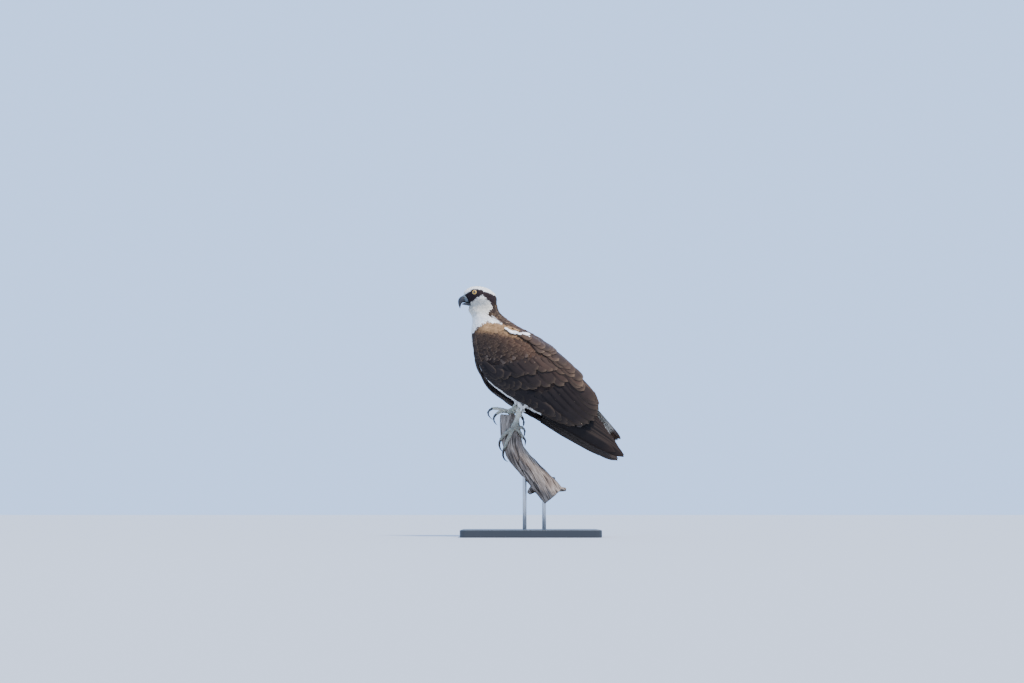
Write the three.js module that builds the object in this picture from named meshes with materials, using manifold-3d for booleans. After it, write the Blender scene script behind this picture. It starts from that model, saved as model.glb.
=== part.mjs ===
// A life-size osprey gripping the broken top of a dead branch, held by a plain display stand.
// Millimetres, +Z up. The bird faces -X and its left side faces -Y.
// The origin is on the floor, under the middle of the stand's base.
import * as THREE from "three";
import { mergeVertices } from "three/addons/utils/BufferGeometryUtils.js";
import Module from "manifold-3d";

const wasm = await Module();
wasm.setup();

// Driving dimensions
const GAP = 0.35; // air between two pieces that touch
const EYE_RADIUS = 8.3; // the eyeball, of which the lids show a disc about 12 across
const EYE_CENTRE = [-142, 17, 603.5]; // the right eye, mirrored for the left one
const HEAD_TURN = 12; // degrees to the left, about the neck
const HEAD_PIVOT = [-112, 0, 0];
const HEAD_SIDES = 16;
const TRUNK_SIDES = 20;
const NECK_CUT = { at: [-118, 563], turn: 6 }; // head from neck: a point and degrees from level
const SHOULDER_CUT = { at: [-100, 531], turn: 12 }; // neck from trunk
const WING_SHELL = 7; // thickness of the wing's covering feathers at the middle
const WING_EDGE = 1.6; // the same at its rim
const TIP_START = 0.86; // where a long feather starts to round off, as a share of its length
const PRIMARY_THICKNESS = 2.2;
const PRIMARY_HALF_WIDTH = 15.5;
const RIGHT_WING_DROP = 12; // how much lower the relaxed right wing hangs
const RIGHT_PRIMARY_REACH = 0.95; // how far its long feathers reach, next to the left wing's
const TAIL_LENGTH = 215;
const TAIL_SLOPE = 50; // degrees below level
const TAIL_ROLL = 14; // degrees, which turns the underside a little to the left
const TAIL_BLADES = 5;
const TAIL_STEP = 7; // from one blade to the next at the root
const TAIL_FAN = 1.3; // degrees from one blade to the next
const TAIL_HALF_WIDTH = 13; // of one blade
const TAIL_ROOT = [86, 0, 405];
const TAIL_ARCH = { across: 40, drop: 3.5 };
const TAIL_THICKNESS = 2.4;
const TARSUS_RADIUS = 6.6;
const TOE_RADIUS = 5.2;
const CLAW_RADIUS = 3.3;
const CLAW_TIP = 0.35;
const BASE = { length: 340, width: 240, height: 18, corner: 14, bevel: 1.5 };
const ROD_RADIUS = 5;

// The body from inside the head to the root of the tail.
// Each row: back x, back z, front x, front z, half the width.
const BODY = [
  [-88, 592, -148, 584, 23],
  [-80, 572, -157, 563, 29],
  [-74, 558, -148, 547, 36],
  [-50, 537, -147, 530, 46],
  [-18, 517, -150, 502, 58],
  [22, 497, -146, 466, 68],
  [60, 468, -130, 426, 73],
  [92, 438, -106, 384, 71],
  [118, 406, -68, 352, 67],
  [138, 378, -22, 322, 60],
  [150, 352, 32, 296, 51],
  [162, 328, 84, 274, 40],
  [172, 306, 128, 262, 26],
];

// The head from the nape to the forehead, in the same columns: crown, then throat.
const HEAD = [
  [-83, 598, -84, 574, 9],
  [-91, 609, -92, 560, 21],
  [-106, 619, -104, 551, 27],
  [-122, 623.5, -118, 551, 28.5],
  [-137, 624, -130, 556, 27],
  [-150, 621.5, -140, 564, 23],
  [-160, 616, -147, 571, 18],
  [-166.5, 609, -151, 575, 13.5],
  [-168, 603, -154, 580, 9.5],
];

// The bill from its root to the hooked tip: ridge x and z, then cutting edge x and z, then half width.
const UPPER_BILL = [
  [-171.5, 597.3, -163.5, 581, 8.9],
  [-176, 594.6, -167.5, 580.6, 8.2],
  [-180, 589.5, -170.5, 579.6, 6.8],
  [-181.6, 583, -172.4, 577.4, 5],
  [-180.8, 576, -173.6, 573.6, 3.2],
  [-178.8, 570, -174.8, 569.8, 1.8],
  [-176.2, 565, -175.4, 565.6, 0.5],
];
const LOWER_BILL = [
  [-146, 581.4, -146, 570, 9.4],
  [-156, 581.4, -155, 573, 8.4],
  [-165, 580.4, -164, 574.4, 6.6],
  [-171.6, 577.6, -170.6, 575.2, 3.4],
];
const CERE = [
  [-162, 604, -150, 579, 12],
  [-167, 600.4, -157, 580.2, 10.6],
  [-171, 597.8, -163, 581, 9.2],
];

// The folded wing's outline seen from the side: low x, low z, high x, high z, from bend to tip.
const ARM = [
  [-143.5, 493, -142.5, 504],
  [-142, 470, -131, 518],
  [-135, 440, -108, 524],
  [-122, 410, -76, 521],
  [-106, 380, -42, 514],
  [-82, 367, -6, 500],
  [-56, 352, 28, 481],
  [-28, 328, 60, 456],
  [2, 311, 88, 428],
  [36, 293, 112, 401],
  [70, 277, 134, 377],
  [104, 264, 154, 362],
  [136, 268, 166, 346],
  [161, 298, 172, 326],
];
const COVERTS_END = 7.4; // the row where the covering feathers hand over to the long ones
const HALF_GAP_ROWS = 0.006; // half the gap there, as a share of the step between two rows

// How far the wing's outer face stands from the middle of the body, along the line from bend to tip.
// Each row: distance along that line, half the width there, height of the widest place over the line.
const WING_LINE = { at: [-140, 484], slope: 38.2 };
const WING_BULGE = [
  [-20, 40, 4],
  [10, 60, 6],
  [50, 76, 10],
  [110, 85, 15],
  [180, 86, 20],
  [240, 81, 24],
  [300, 70, 25],
  [350, 59, 20],
  [400, 51, 10],
  [440, 46, 4],
  [490, 42, 0],
];
const BULGE_UP = 93; // from the widest place to where the face would meet the back
const BULGE_DOWN = 94;
const BULGE_POWER = 2.4;

// The long feathers of the hand that show: root x, root z, tip x, tip z, from the lowest one up.
const PRIMARIES = [
  [28, 302, 209, 206],
  [34, 315, 232, 194],
  [44, 330, 219, 215],
  [54, 344, 204, 233],
  [66, 358, 187, 256],
];
const PRIMARY_DEPTH = 7.6; // below the outer face
const PRIMARY_STEP = 0.9; // and how much deeper each next one lies

// The branch from its broken top down to the cut: x, z, radius.
const BRANCH = [
  [-52, 300, 23.5],
  [-51, 278, 25.5],
  [-49, 255, 25.5],
  [-43, 225, 25],
  [-29, 198, 25.5],
  [-9, 174, 26],
  [13, 150, 27],
  [37, 124, 29],
  [58, 100, 30.5],
];
const BRANCH_SIDES = 12;
const BRANCH_STEPS = 2; // rings for each row
const KNOTS = [
  { from: [20, 0, 130], to: [-4, -6, 106], wide: 13 },
  { from: [30, 4, 140], to: [62, 8, 143], wide: 9 },
  { from: [45, -4, 118], to: [88, -10, 116], wide: 9 },
];
const RODS = [
  { name: "stand_rod_1", x: -14, top: 150 },
  { name: "stand_rod_2", x: 34, top: 98 },
];

// The left foot's toes as places on the branch: row of the branch, degrees round it, height over the bark.
// Minus 90 degrees faces -Y, and 180 is the side that the bird faces. The claw goes on from the toe.
const LEFT_PALM = [1.5, -72, 6.5];
const LEFT_TOES = [
  { toe: [[2.0, -112, 6], [2.45, -152, 5]], claw: [[2.68, -174, 7], [2.98, -186, 6.5], [3.22, -193, 2.5]] },
  { toe: [[2.35, -100, 6], [3.05, -142, 5]], claw: [[3.34, -166, 7], [3.68, -180, 6.5], [3.95, -188, 2.5]] },
  { toe: [[1.45, -44, 6], [1.62, -18, 5.5]], claw: [[1.9, 3, 10], [2.35, 12, 9], [2.75, 17, 3]] },
  { toe: [[2.0, -46, 6], [2.55, -20, 5]], claw: [[2.85, 0, 8.5], [3.2, 9, 7.5], [3.55, 14, 2.5]] },
];

// The right foot stands on the broken top, so its places are plain x, y, z.
const RIGHT_PALM = [-50, 6, 308.5];
const RIGHT_TOES = [
  {
    toe: [[-68, 1, 313.5], [-83, -5, 316], [-95, -8, 316]],
    claw: [[-104, -9, 308], [-102.5, -9, 297], [-91, -6, 286.5]],
  },
  {
    toe: [[-66, 13, 310], [-78, 16, 308], [-85, 17, 303]],
    claw: [[-90.5, 17.5, 295], [-89, 17, 284], [-81, 14.5, 275]],
  },
  {
    toe: [[-46, 19, 307], [-41, 28, 301], [-38, 32, 292]],
    claw: [[-35, 34.5, 282], [-36, 32.5, 269], [-41, 28, 259]],
  },
  {
    toe: [[-36, 6, 308], [-26, 7, 303.5], [-20, 8, 295]],
    claw: [[-16, 9, 286], [-16.5, 10, 274], [-22, 11, 265]],
  },
];
const LEGS = {
  left: { hip: [-6, -38, 354], ankle: [-27, -43, 314] },
  right: { hip: [-12, 27, 352], ankle: [-36, 17, 324] },
};
const THIGH_TOP = 24;
const THIGH_END = 9.5;

const COLOURS = {
  white: 0xe9e6df,
  brown: 0x42352d,
  dark: 0x2e2926,
  bill: 0x23252a,
  cere: 0x6f7a80,
  eye: 0xe3a52c,
  leg: 0xc9cdc0,
  claw: 0x1f1f22,
  wood: 0x8f8377,
  base: 0x2b2d30,
  steel: 0xb9bcc0,
};

const UP = new THREE.Vector3(0, 0, 1);
const ASIDE = new THREE.Vector3(0, 1, 0);

// Number helpers

function toRadians(degrees) {
  return THREE.MathUtils.degToRad(degrees);
}

// The row at a fractional place in a table, on a smooth curve through its rows.
function rowAt(rows, place) {
  const last = rows.length - 1;
  const held = THREE.MathUtils.clamp(place, 0, last);
  const i = Math.min(Math.floor(held), last - 1);
  const f = held - i;
  const near = [-1, 0, 1, 2].map((k) => rows[THREE.MathUtils.clamp(i + k, 0, last)]);
  return near[1].map((_, k) => {
    const [a, b, c, d] = near.map((row) => row[k]);
    const bend = (2 * a - 5 * b + 4 * c - d) * f + (3 * b - a - 3 * c + d) * f * f;
    return b + 0.5 * f * (c - a + bend);
  });
}

// A table read by the value in its first column.
function lookUp(rows, value) {
  let i = 0;
  while (i < rows.length - 2 && rows[i + 1][0] < value) i += 1;
  return rowAt(rows, i + (value - rows[i][0]) / (rows[i + 1][0] - rows[i][0]));
}

function spread(count, make) {
  return Array.from({ length: count + 1 }, (_, i) => make(i / count));
}

// Solids

// A closed triangle mesh as a solid, turned to face outwards.
function solidFrom(points, triangles) {
  const geometry = new THREE.BufferGeometry().setFromPoints(points).setIndex(triangles.flat());
  return solidOf(geometry);
}

function solidOf(geometry) {
  const bare = geometry.clone();
  bare.deleteAttribute("normal");
  bare.deleteAttribute("uv");
  const merged = mergeVertices(bare, 1e-3);
  const made = (triVerts) =>
    new wasm.Manifold(
      new wasm.Mesh({ numProp: 3, vertProperties: merged.attributes.position.array, triVerts }),
    );
  const order = new Uint32Array(merged.index.array);
  const solid = made(order);
  return solid.volume() > 0 ? solid : made(order.reverse());
}

function geometryOf(solid) {
  const mesh = solid.getMesh();
  const points = new Float32Array((mesh.vertProperties.length / mesh.numProp) * 3);
  points.forEach((_, i) => {
    points[i] = mesh.vertProperties[Math.floor(i / 3) * mesh.numProp + (i % 3)];
  });
  const geometry = new THREE.BufferGeometry();
  geometry.setAttribute("position", new THREE.BufferAttribute(points, 3));
  geometry.setIndex(new THREE.BufferAttribute(new Uint32Array(mesh.triVerts), 1));
  geometry.computeVertexNormals();
  return geometry;
}

// The largest body of a cut piece, without the slivers that a grazing cut can leave.
function mainBody(solid) {
  return solid.decompose().reduce((best, body) => (body.volume() > best.volume() ? body : best));
}

function joined(solids) {
  return solids.reduce((whole, solid) => whole.add(solid));
}

// A skin stretched over rings of equally many points, closed by a fan at each end.
function loft(rings) {
  const sides = rings[0].length;
  const points = rings.flat();
  const triangles = [];
  for (let r = 0; r < rings.length - 1; r += 1) {
    for (let k = 0; k < sides; k += 1) {
      const a = r * sides + k;
      const b = r * sides + ((k + 1) % sides);
      triangles.push([a, b, b + sides], [a, b + sides, a + sides]);
    }
  }
  const ends = [
    [rings[0], 0, true],
    [rings.at(-1), (rings.length - 1) * sides, false],
  ];
  for (const [ring, start, flip] of ends) {
    const middle = points.length;
    points.push(ring.reduce((sum, p) => sum.add(p), new THREE.Vector3()).divideScalar(sides));
    for (let k = 0; k < sides; k += 1) {
      const a = start + k;
      const b = start + ((k + 1) % sides);
      triangles.push(flip ? [b, a, middle] : [a, b, middle]);
    }
  }
  return solidFrom(points, triangles);
}

// A ring round a centre. A power over 2 squares it up.
function ringAt(centre, across, up, halfAcross, halfUp, sides, power = 2) {
  const bent = (value) => Math.sign(value) * Math.abs(value) ** (2 / power);
  return Array.from({ length: sides }, (_, k) => {
    const angle = (k / sides) * 2 * Math.PI;
    return centre
      .clone()
      .addScaledVector(across, halfAcross * bent(Math.cos(angle)))
      .addScaledVector(up, halfUp * bent(Math.sin(angle)));
  });
}

// A loft whose rings stand between a top line and a bottom line in the middle plane.
function profileLoft(rows, steps, sides, power, grow = 0) {
  const rings = spread((rows.length - 1) * steps, (f) => {
    const [topX, topZ, lowX, lowZ, half] = rowAt(rows, f * (rows.length - 1));
    const top = new THREE.Vector3(topX, 0, topZ);
    const low = new THREE.Vector3(lowX, 0, lowZ);
    const up = top.clone().sub(low);
    const halfUp = up.length() / 2 + grow;
    return ringAt(top.add(low).divideScalar(2), ASIDE, up.normalize(), half + grow, halfUp, sides, power);
  });
  lengthen(rings[0], rings[1], grow);
  lengthen(rings.at(-1), rings.at(-2), grow);
  return loft(rings);
}

// Moves an end ring outwards, away from its neighbour.
function lengthen(ring, neighbour, grow) {
  const across = ring.length / 2;
  const outward = ring[0].clone().sub(neighbour[0]).add(ring[across]).sub(neighbour[across]);
  outward.normalize().multiplyScalar(grow);
  ring.forEach((point) => point.add(outward));
}

// A round tube through points, with a radius for each place along it.
function taperedTube(places, radiusAt, steps, sides) {
  const curve = new THREE.CatmullRomCurve3(places, false, "centripetal");
  const rings = spread(steps, (f) => {
    const along = curve.getTangent(f);
    const across = new THREE.Vector3().crossVectors(along, Math.abs(along.z) < 0.95 ? UP : ASIDE).normalize();
    const up = new THREE.Vector3().crossVectors(across, along).normalize();
    return ringAt(curve.getPoint(f), across, up, radiusAt(f), radiusAt(f), sides);
  });
  return loft(rings);
}

// A closed shell over a grid: outer and inner give the two faces' points for u and v from 0 to 1.
function shell(outer, inner, lengthSteps, widthSteps) {
  const sheet = (face) => spread(lengthSteps, (u) => spread(widthSteps, (v) => face(u, v))).flat();
  const points = [...sheet(outer), ...sheet(inner)];
  const row = widthSteps + 1;
  const under = points.length / 2;
  const triangles = [];
  const quad = (a, b, c, d) => triangles.push([a, b, c], [a, c, d]);
  for (let i = 0; i < lengthSteps; i += 1) {
    for (let k = 0; k < widthSteps; k += 1) {
      const a = i * row + k;
      quad(a, a + row, a + row + 1, a + 1);
      quad(under + a + 1, under + a + row + 1, under + a + row, under + a);
    }
    const low = i * row;
    const high = low + widthSteps;
    quad(low + row, low, under + low, under + low + row);
    quad(high, high + row, under + high + row, under + high);
  }
  for (let k = 0; k < widthSteps; k += 1) {
    const first = k;
    const last = lengthSteps * row + k;
    quad(first, first + 1, under + first + 1, under + first);
    quad(last + 1, last, under + last, under + last + 1);
  }
  return solidFrom(points, triangles);
}

// The two sides of a flat cut that leaves a gap: a big block on each side of a line in the side view.
function halves({ at, turn }) {
  const size = 800;
  return [1, -1].map((side) => {
    const block = new THREE.BoxGeometry(size, size, size);
    block.translate(0, 0, (side * (size + GAP)) / 2);
    block.rotateY(toRadians(-turn));
    block.translate(at[0], 0, at[1]);
    return solidOf(block);
  });
}

// Trunk, neck and head

const bodyWhole = profileLoft(BODY, 2, TRUNK_SIDES, 2.25);
const bodyGrown = profileLoft(BODY, 2, TRUNK_SIDES, 2.25, GAP);
const headWhole = profileLoft(HEAD, 2, HEAD_SIDES, 2.1);
const headGrown = profileLoft(HEAD, 2, HEAD_SIDES, 2.1, GAP);

// The head is shaped facing straight ahead, then turned about the neck.
function turned(solid) {
  const geometry = geometryOf(solid);
  geometry.translate(-HEAD_PIVOT[0], -HEAD_PIVOT[1], -HEAD_PIVOT[2]);
  geometry.rotateZ(toRadians(HEAD_TURN));
  geometry.translate(...HEAD_PIVOT);
  return solidOf(geometry);
}

function eyeball(side, grow = 0) {
  const ball = new THREE.SphereGeometry(EYE_RADIUS + grow, 12, 8);
  ball.translate(EYE_CENTRE[0], side * EYE_CENTRE[1], EYE_CENTRE[2]);
  return solidOf(ball);
}

function upperBill(grow = 0) {
  return profileLoft(UPPER_BILL, 2, 12, 2.2, grow);
}

function cere(grow = 0) {
  return profileLoft(CERE, 1, 12, 2.2, grow).subtract(headGrown);
}

function lowerBill() {
  const room = joined([headGrown, cere(2 * GAP), upperBill(GAP)]);
  return turned(profileLoft(LOWER_BILL, 1, 12, 2.2).subtract(room)).subtract(bodyGrown);
}

function fleshPieces() {
  const flesh = bodyWhole.add(turned(headWhole));
  const [aboveNeck, belowNeck] = halves(NECK_CUT);
  const [aboveShoulder, belowShoulder] = halves(SHOULDER_CUT);
  const sockets = joined([eyeball(1, GAP), eyeball(-1, GAP)]);
  return {
    head: flesh.intersect(aboveNeck).subtract(turned(sockets)),
    neck: flesh.intersect(belowNeck).intersect(aboveShoulder),
    trunk: flesh.intersect(belowNeck).intersect(belowShoulder),
  };
}

// Wings

// Half the width over the folded wings at a place in the side view.
function wingFace(x, z) {
  const slope = toRadians(WING_LINE.slope);
  const right = x - WING_LINE.at[0];
  const rise = z - WING_LINE.at[1];
  const along = right * Math.cos(slope) - rise * Math.sin(slope);
  const over = right * Math.sin(slope) + rise * Math.cos(slope);
  const [, half, widest] = lookUp(WING_BULGE, along);
  const off = (over - widest) / (over > widest ? BULGE_UP : BULGE_DOWN);
  return half * (1 - Math.min(Math.abs(off), 0.97) ** BULGE_POWER) ** (1 / BULGE_POWER);
}

// The left wing's point under a place in the side view, a given depth below the outer face.
function leftWingPoint(x, z, depth) {
  const step = 2;
  const tiltX = (wingFace(x + step, z) - wingFace(x - step, z)) / (2 * step);
  const tiltZ = (wingFace(x, z + step) - wingFace(x, z - step)) / (2 * step);
  const outward = new THREE.Vector3(-tiltX, -1, -tiltZ).normalize();
  return new THREE.Vector3(x, -wingFace(x, z), z).addScaledVector(outward, -depth);
}

// The shell of covering and inner flight feathers between two rows of the outline.
function armShell(firstRow, lastRow, lengthSteps) {
  const place = (u, v) => {
    const [lowX, lowZ, highX, highZ] = rowAt(ARM, THREE.MathUtils.lerp(firstRow, lastRow, u));
    return [THREE.MathUtils.lerp(lowX, highX, v), THREE.MathUtils.lerp(lowZ, highZ, v)];
  };
  const depth = (u, v) => {
    const along = THREE.MathUtils.lerp(firstRow, lastRow, u) / (ARM.length - 1);
    const full = Math.sin(Math.PI * v) ** 0.5 * Math.min(1, 8 * along, 6 * (1 - along) + 0.15);
    return WING_EDGE + (WING_SHELL - WING_EDGE) * full;
  };
  return shell(
    (u, v) => leftWingPoint(...place(u, v), 0),
    (u, v) => leftWingPoint(...place(u, v), depth(u, v)),
    lengthSteps,
    6,
  );
}

// Half the width of a feather along its length: even, then rounding to a blunt tip.
function featherWidth(f) {
  const out = Math.max(f - TIP_START, 0) / (1 - TIP_START);
  return Math.sqrt(Math.max(1 - out * out, 0.02));
}

// The place along a feather for a step along its mesh, which is finer in the rounding tip.
function featherPlace(u) {
  const body = 0.7;
  if (u < body) return (u / body) * TIP_START;
  return THREE.MathUtils.lerp(TIP_START, 1, (u - body) / (1 - body));
}

// One long feather as a thin blade over a face that pointAt describes by place and depth.
function blade([rootX, rootZ, tipX, tipZ], halfWidth, thickness, depth, pointAt) {
  const along = new THREE.Vector2(tipX - rootX, tipZ - rootZ);
  const across = new THREE.Vector2(-along.y, along.x).normalize().multiplyScalar(halfWidth);
  const face = (under) => (u, v) => {
    const f = featherPlace(u);
    const off = (2 * v - 1) * featherWidth(f);
    const x = rootX + along.x * f + across.x * off;
    const z = rootZ + along.y * f + across.y * off;
    return pointAt(x, z, depth + under);
  };
  return shell(face(0), face(thickness), 7, 2);
}

function primaries(reach) {
  return joined(
    PRIMARIES.map(([rootX, rootZ, tipX, tipZ], k) => {
      const line = [rootX, rootZ, rootX + (tipX - rootX) * reach, rootZ + (tipZ - rootZ) * reach];
      const depth = PRIMARY_DEPTH + k * PRIMARY_STEP;
      return blade(line, PRIMARY_HALF_WIDTH, PRIMARY_THICKNESS, depth, leftWingPoint);
    }),
  );
}

function leftWing(reach) {
  return {
    coverts: armShell(0, COVERTS_END - HALF_GAP_ROWS, 10),
    secondaries: armShell(COVERTS_END + HALF_GAP_ROWS, ARM.length - 1, 8),
    primaries: primaries(reach),
  };
}

// Tail

// A point on the tail by its place across and down from the root, a given depth below the upper face.
function tailPoint(across, down, depth) {
  const slope = toRadians(TAIL_SLOPE);
  const roll = toRadians(TAIL_ROLL);
  const along = new THREE.Vector3(Math.cos(slope), 0, -Math.sin(slope));
  const under = new THREE.Vector3(-Math.sin(slope), 0, -Math.cos(slope));
  const aside = ASIDE.clone().multiplyScalar(Math.cos(roll)).addScaledVector(under, Math.sin(roll));
  const facing = under.clone().multiplyScalar(Math.cos(roll)).addScaledVector(ASIDE, -Math.sin(roll));
  const arch = (across / TAIL_ARCH.across) ** 2 * TAIL_ARCH.drop;
  return new THREE.Vector3(...TAIL_ROOT)
    .addScaledVector(along, down)
    .addScaledVector(aside, across)
    .addScaledVector(facing, depth + arch);
}

function tail() {
  const middle = (TAIL_BLADES - 1) / 2;
  const blades = Array.from({ length: TAIL_BLADES }, (_, k) => {
    const out = k - middle;
    const angle = toRadians(out * TAIL_FAN);
    const length = TAIL_LENGTH - Math.abs(out) * 1.5;
    const root = out * TAIL_STEP;
    const line = [root, 0, root + Math.sin(angle) * length, Math.cos(angle) * length];
    return blade(line, TAIL_HALF_WIDTH, TAIL_THICKNESS, Math.abs(out) * 1.1, tailPoint);
  });
  return joined(blades);
}

// Branch

function branchFrame(row) {
  const [x, z, radius] = rowAt(BRANCH, row);
  const [aheadX, aheadZ] = rowAt(BRANCH, row + 0.1);
  const [behindX, behindZ] = rowAt(BRANCH, row - 0.1);
  const along = new THREE.Vector3(aheadX - behindX, 0, aheadZ - behindZ).normalize();
  const outward = new THREE.Vector3().crossVectors(along, ASIDE).normalize().negate();
  return { centre: new THREE.Vector3(x, 0, z), outward: outward.x < 0 ? outward.negate() : outward, radius };
}

// The bark's unevenness round and along the branch.
function barkSwell(angle, row) {
  return 1 + 0.035 * Math.sin(3 * angle + 1.3 * row) + 0.025 * Math.sin(5 * angle - 2.1 * row);
}

function branchPlace([row, degrees, lift]) {
  const { centre, outward, radius } = branchFrame(row);
  const angle = toRadians(degrees);
  const reach = radius * barkSwell(angle, row) + lift;
  return centre
    .addScaledVector(outward, reach * Math.cos(angle))
    .addScaledVector(ASIDE, reach * Math.sin(angle));
}

function knot({ from, to, wide }) {
  const line = [from, to].map((p) => new THREE.Vector3(...p));
  return taperedTube(line, (f) => wide * (1 - 0.55 * f * f), 3, 8);
}

// How high the broken top's rim stands over its middle.
function brokenRim(angle) {
  return 2.5 * Math.sin(4 * angle) - 1.5 * Math.cos(angle);
}

// The branch, with a jagged top where it broke.
function branch(grow = 0) {
  const steps = (BRANCH.length - 1) * BRANCH_STEPS;
  const rings = spread(steps, (f) => {
    const row = f * (BRANCH.length - 1);
    return Array.from({ length: BRANCH_SIDES }, (_, k) => {
      const degrees = (k / BRANCH_SIDES) * 360;
      const point = branchPlace([row, degrees, grow]);
      if (f === 0) point.z += grow + brokenRim(toRadians(degrees));
      return point;
    });
  });
  return joined([loft(rings), ...KNOTS.map(knot)]);
}

// Legs and feet

function thigh({ hip, ankle }, grow = 0) {
  const line = [hip, ankle].map((p) => new THREE.Vector3(...p));
  const radius = (f) => THREE.MathUtils.lerp(THIGH_TOP, THIGH_END, f ** 0.8) + grow;
  return taperedTube(line, radius, 4, 12);
}

function toe(palm, places) {
  return taperedTube([palm, ...places], (f) => TOE_RADIUS * (1 - 0.24 * f), 3, 6);
}

// A claw starts a little inside its toe's end and tapers along its hook.
function claw({ toe: joints, claw: hook }, grow = 0) {
  const [before, end] = joints.slice(-2);
  const start = end.clone().lerp(before, 0.12);
  return taperedTube([start, ...hook], (f) => CLAW_RADIUS * (1 - f ** 1.6) + CLAW_TIP + grow, 5, 6);
}

function foot(ankle, palm, toes) {
  const above = ankle.clone().lerp(palm, 0.5).add(new THREE.Vector3(3, 0, 0));
  const tarsus = taperedTube([ankle, above, palm], (f) => TARSUS_RADIUS * (1 + 0.25 * f ** 4), 3, 8);
  const ball = new THREE.SphereGeometry(TARSUS_RADIUS * 1.3, 7, 5);
  ball.translate(...palm.toArray());
  return joined([tarsus, solidOf(ball), ...toes.map((places) => toe(palm, places))]);
}

// A foot cut back from its branch, thigh and claws, with the claws as pieces of their own.
function clawedFoot(leg, palm, toes) {
  const wood = branch(GAP);
  const whole = foot(new THREE.Vector3(...leg.ankle), palm, toes.map((places) => places.toe));
  const tools = [wood, thigh(leg, GAP), ...toes.map((places) => claw(places, GAP))];
  return {
    foot: tools.reduce((left, tool) => left.subtract(tool), whole),
    claws: toes.map((places) => claw(places).subtract(wood)),
  };
}

function asPoints(places, convert) {
  return places.map(({ toe: toePlaces, claw: clawPlaces }) => ({
    toe: toePlaces.map(convert),
    claw: clawPlaces.map(convert),
  }));
}

// Stand

function standBase() {
  const { length, width, height, corner, bevel } = BASE;
  const [x, y] = [length / 2 - bevel, width / 2 - bevel];
  const outline = new THREE.Shape();
  outline.moveTo(corner - x, -y);
  outline.lineTo(x - corner, -y);
  outline.absarc(x - corner, corner - y, corner, -Math.PI / 2, 0);
  outline.absarc(x - corner, y - corner, corner, 0, Math.PI / 2);
  outline.absarc(corner - x, y - corner, corner, Math.PI / 2, Math.PI);
  outline.absarc(corner - x, corner - y, corner, Math.PI, 1.5 * Math.PI);
  const plate = new THREE.ExtrudeGeometry(outline, {
    depth: height - 2 * bevel,
    bevelSize: bevel,
    bevelThickness: bevel,
    bevelSegments: 1,
    curveSegments: 3,
  });
  plate.translate(0, 0, bevel);
  return solidOf(plate);
}

function rod({ x, top }, grow = 0) {
  const foot = BASE.height + GAP;
  const post = new THREE.CylinderGeometry(ROD_RADIUS + grow, ROD_RADIUS + grow, top + grow - foot, 16);
  post.rotateX(Math.PI / 2);
  post.translate(x, 0, (top + grow + foot) / 2);
  return solidOf(post);
}

// Assembly

const osprey = new THREE.Group();

function addPiece(name, solid, colour, roughness = 0.8, metalness = 0) {
  const material = new THREE.MeshStandardMaterial({ color: colour, roughness, metalness });
  const mesh = new THREE.Mesh(geometryOf(mainBody(solid)), material);
  mesh.name = name;
  osprey.add(mesh);
}

function mirrored(solid, drop) {
  const geometry = geometryOf(solid);
  geometry.scale(1, -1, 1);
  geometry.translate(0, 0, -drop);
  return solidOf(geometry);
}

function addBody() {
  const flesh = fleshPieces();
  addPiece("head", flesh.head, COLOURS.white);
  addPiece("neck", flesh.neck, COLOURS.white);
  addPiece("trunk", flesh.trunk, COLOURS.white);
  addPiece("thigh_left", thigh(LEGS.left).subtract(bodyGrown), COLOURS.white);
  addPiece("thigh_right", thigh(LEGS.right).subtract(bodyGrown), COLOURS.white);
}

function addFace() {
  addPiece("eye_left", turned(eyeball(-1)), COLOURS.eye, 0.15);
  addPiece("eye_right", turned(eyeball(1)), COLOURS.eye, 0.15);
  addPiece("cere", turned(cere().subtract(upperBill(GAP))).subtract(bodyGrown), COLOURS.cere, 0.5);
  addPiece("beak_upper", turned(upperBill()), COLOURS.bill, 0.3);
  addPiece("beak_lower", lowerBill(), COLOURS.bill, 0.35);
}

function addWings() {
  const thighs = Object.values(LEGS).map((leg) => thigh(leg, GAP));
  const sides = { left: leftWing(1), right: leftWing(RIGHT_PRIMARY_REACH) };
  for (const [side, pieces] of Object.entries(sides)) {
    for (const [part, piece] of Object.entries(pieces)) {
      const placed = side === "right" ? mirrored(piece, RIGHT_WING_DROP) : piece;
      const cut = thighs.reduce((left, tool) => left.subtract(tool), placed.subtract(bodyGrown));
      addPiece(`wing_${side}_${part}`, cut, part === "coverts" ? COLOURS.brown : COLOURS.dark);
    }
  }
}

function addLegs() {
  const toesOf = {
    left: [branchPlace(LEFT_PALM), asPoints(LEFT_TOES, branchPlace)],
    right: [new THREE.Vector3(...RIGHT_PALM), asPoints(RIGHT_TOES, (p) => new THREE.Vector3(...p))],
  };
  for (const [side, [palm, toes]] of Object.entries(toesOf)) {
    const made = clawedFoot(LEGS[side], palm, toes);
    addPiece(`foot_${side}`, made.foot, COLOURS.leg, 0.6);
    made.claws.forEach((solid, k) => addPiece(`claw_${side}_${k + 1}`, solid, COLOURS.claw, 0.25));
  }
}

function addStand() {
  const perch = RODS.reduce((wood, post) => wood.subtract(rod(post, GAP)), branch());
  addPiece("perch", perch, COLOURS.wood, 0.9);
  addPiece("stand_base", standBase(), COLOURS.base, 0.5);
  RODS.forEach((post) => addPiece(post.name, rod(post), COLOURS.steel, 0.35, 1));
}

addBody();
addFace();
addWings();
addPiece("tail", tail().subtract(bodyGrown), COLOURS.brown);
addLegs();
addStand();

export default osprey;
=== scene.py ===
import logging
import math
from dataclasses import dataclass
from enum import Enum
from typing import Iterable, Sequence

import bmesh
import bpy
import numpy as np
from mathutils import Matrix, Vector
from mathutils.bvhtree import BVHTree
from mathutils.kdtree import KDTree


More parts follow.
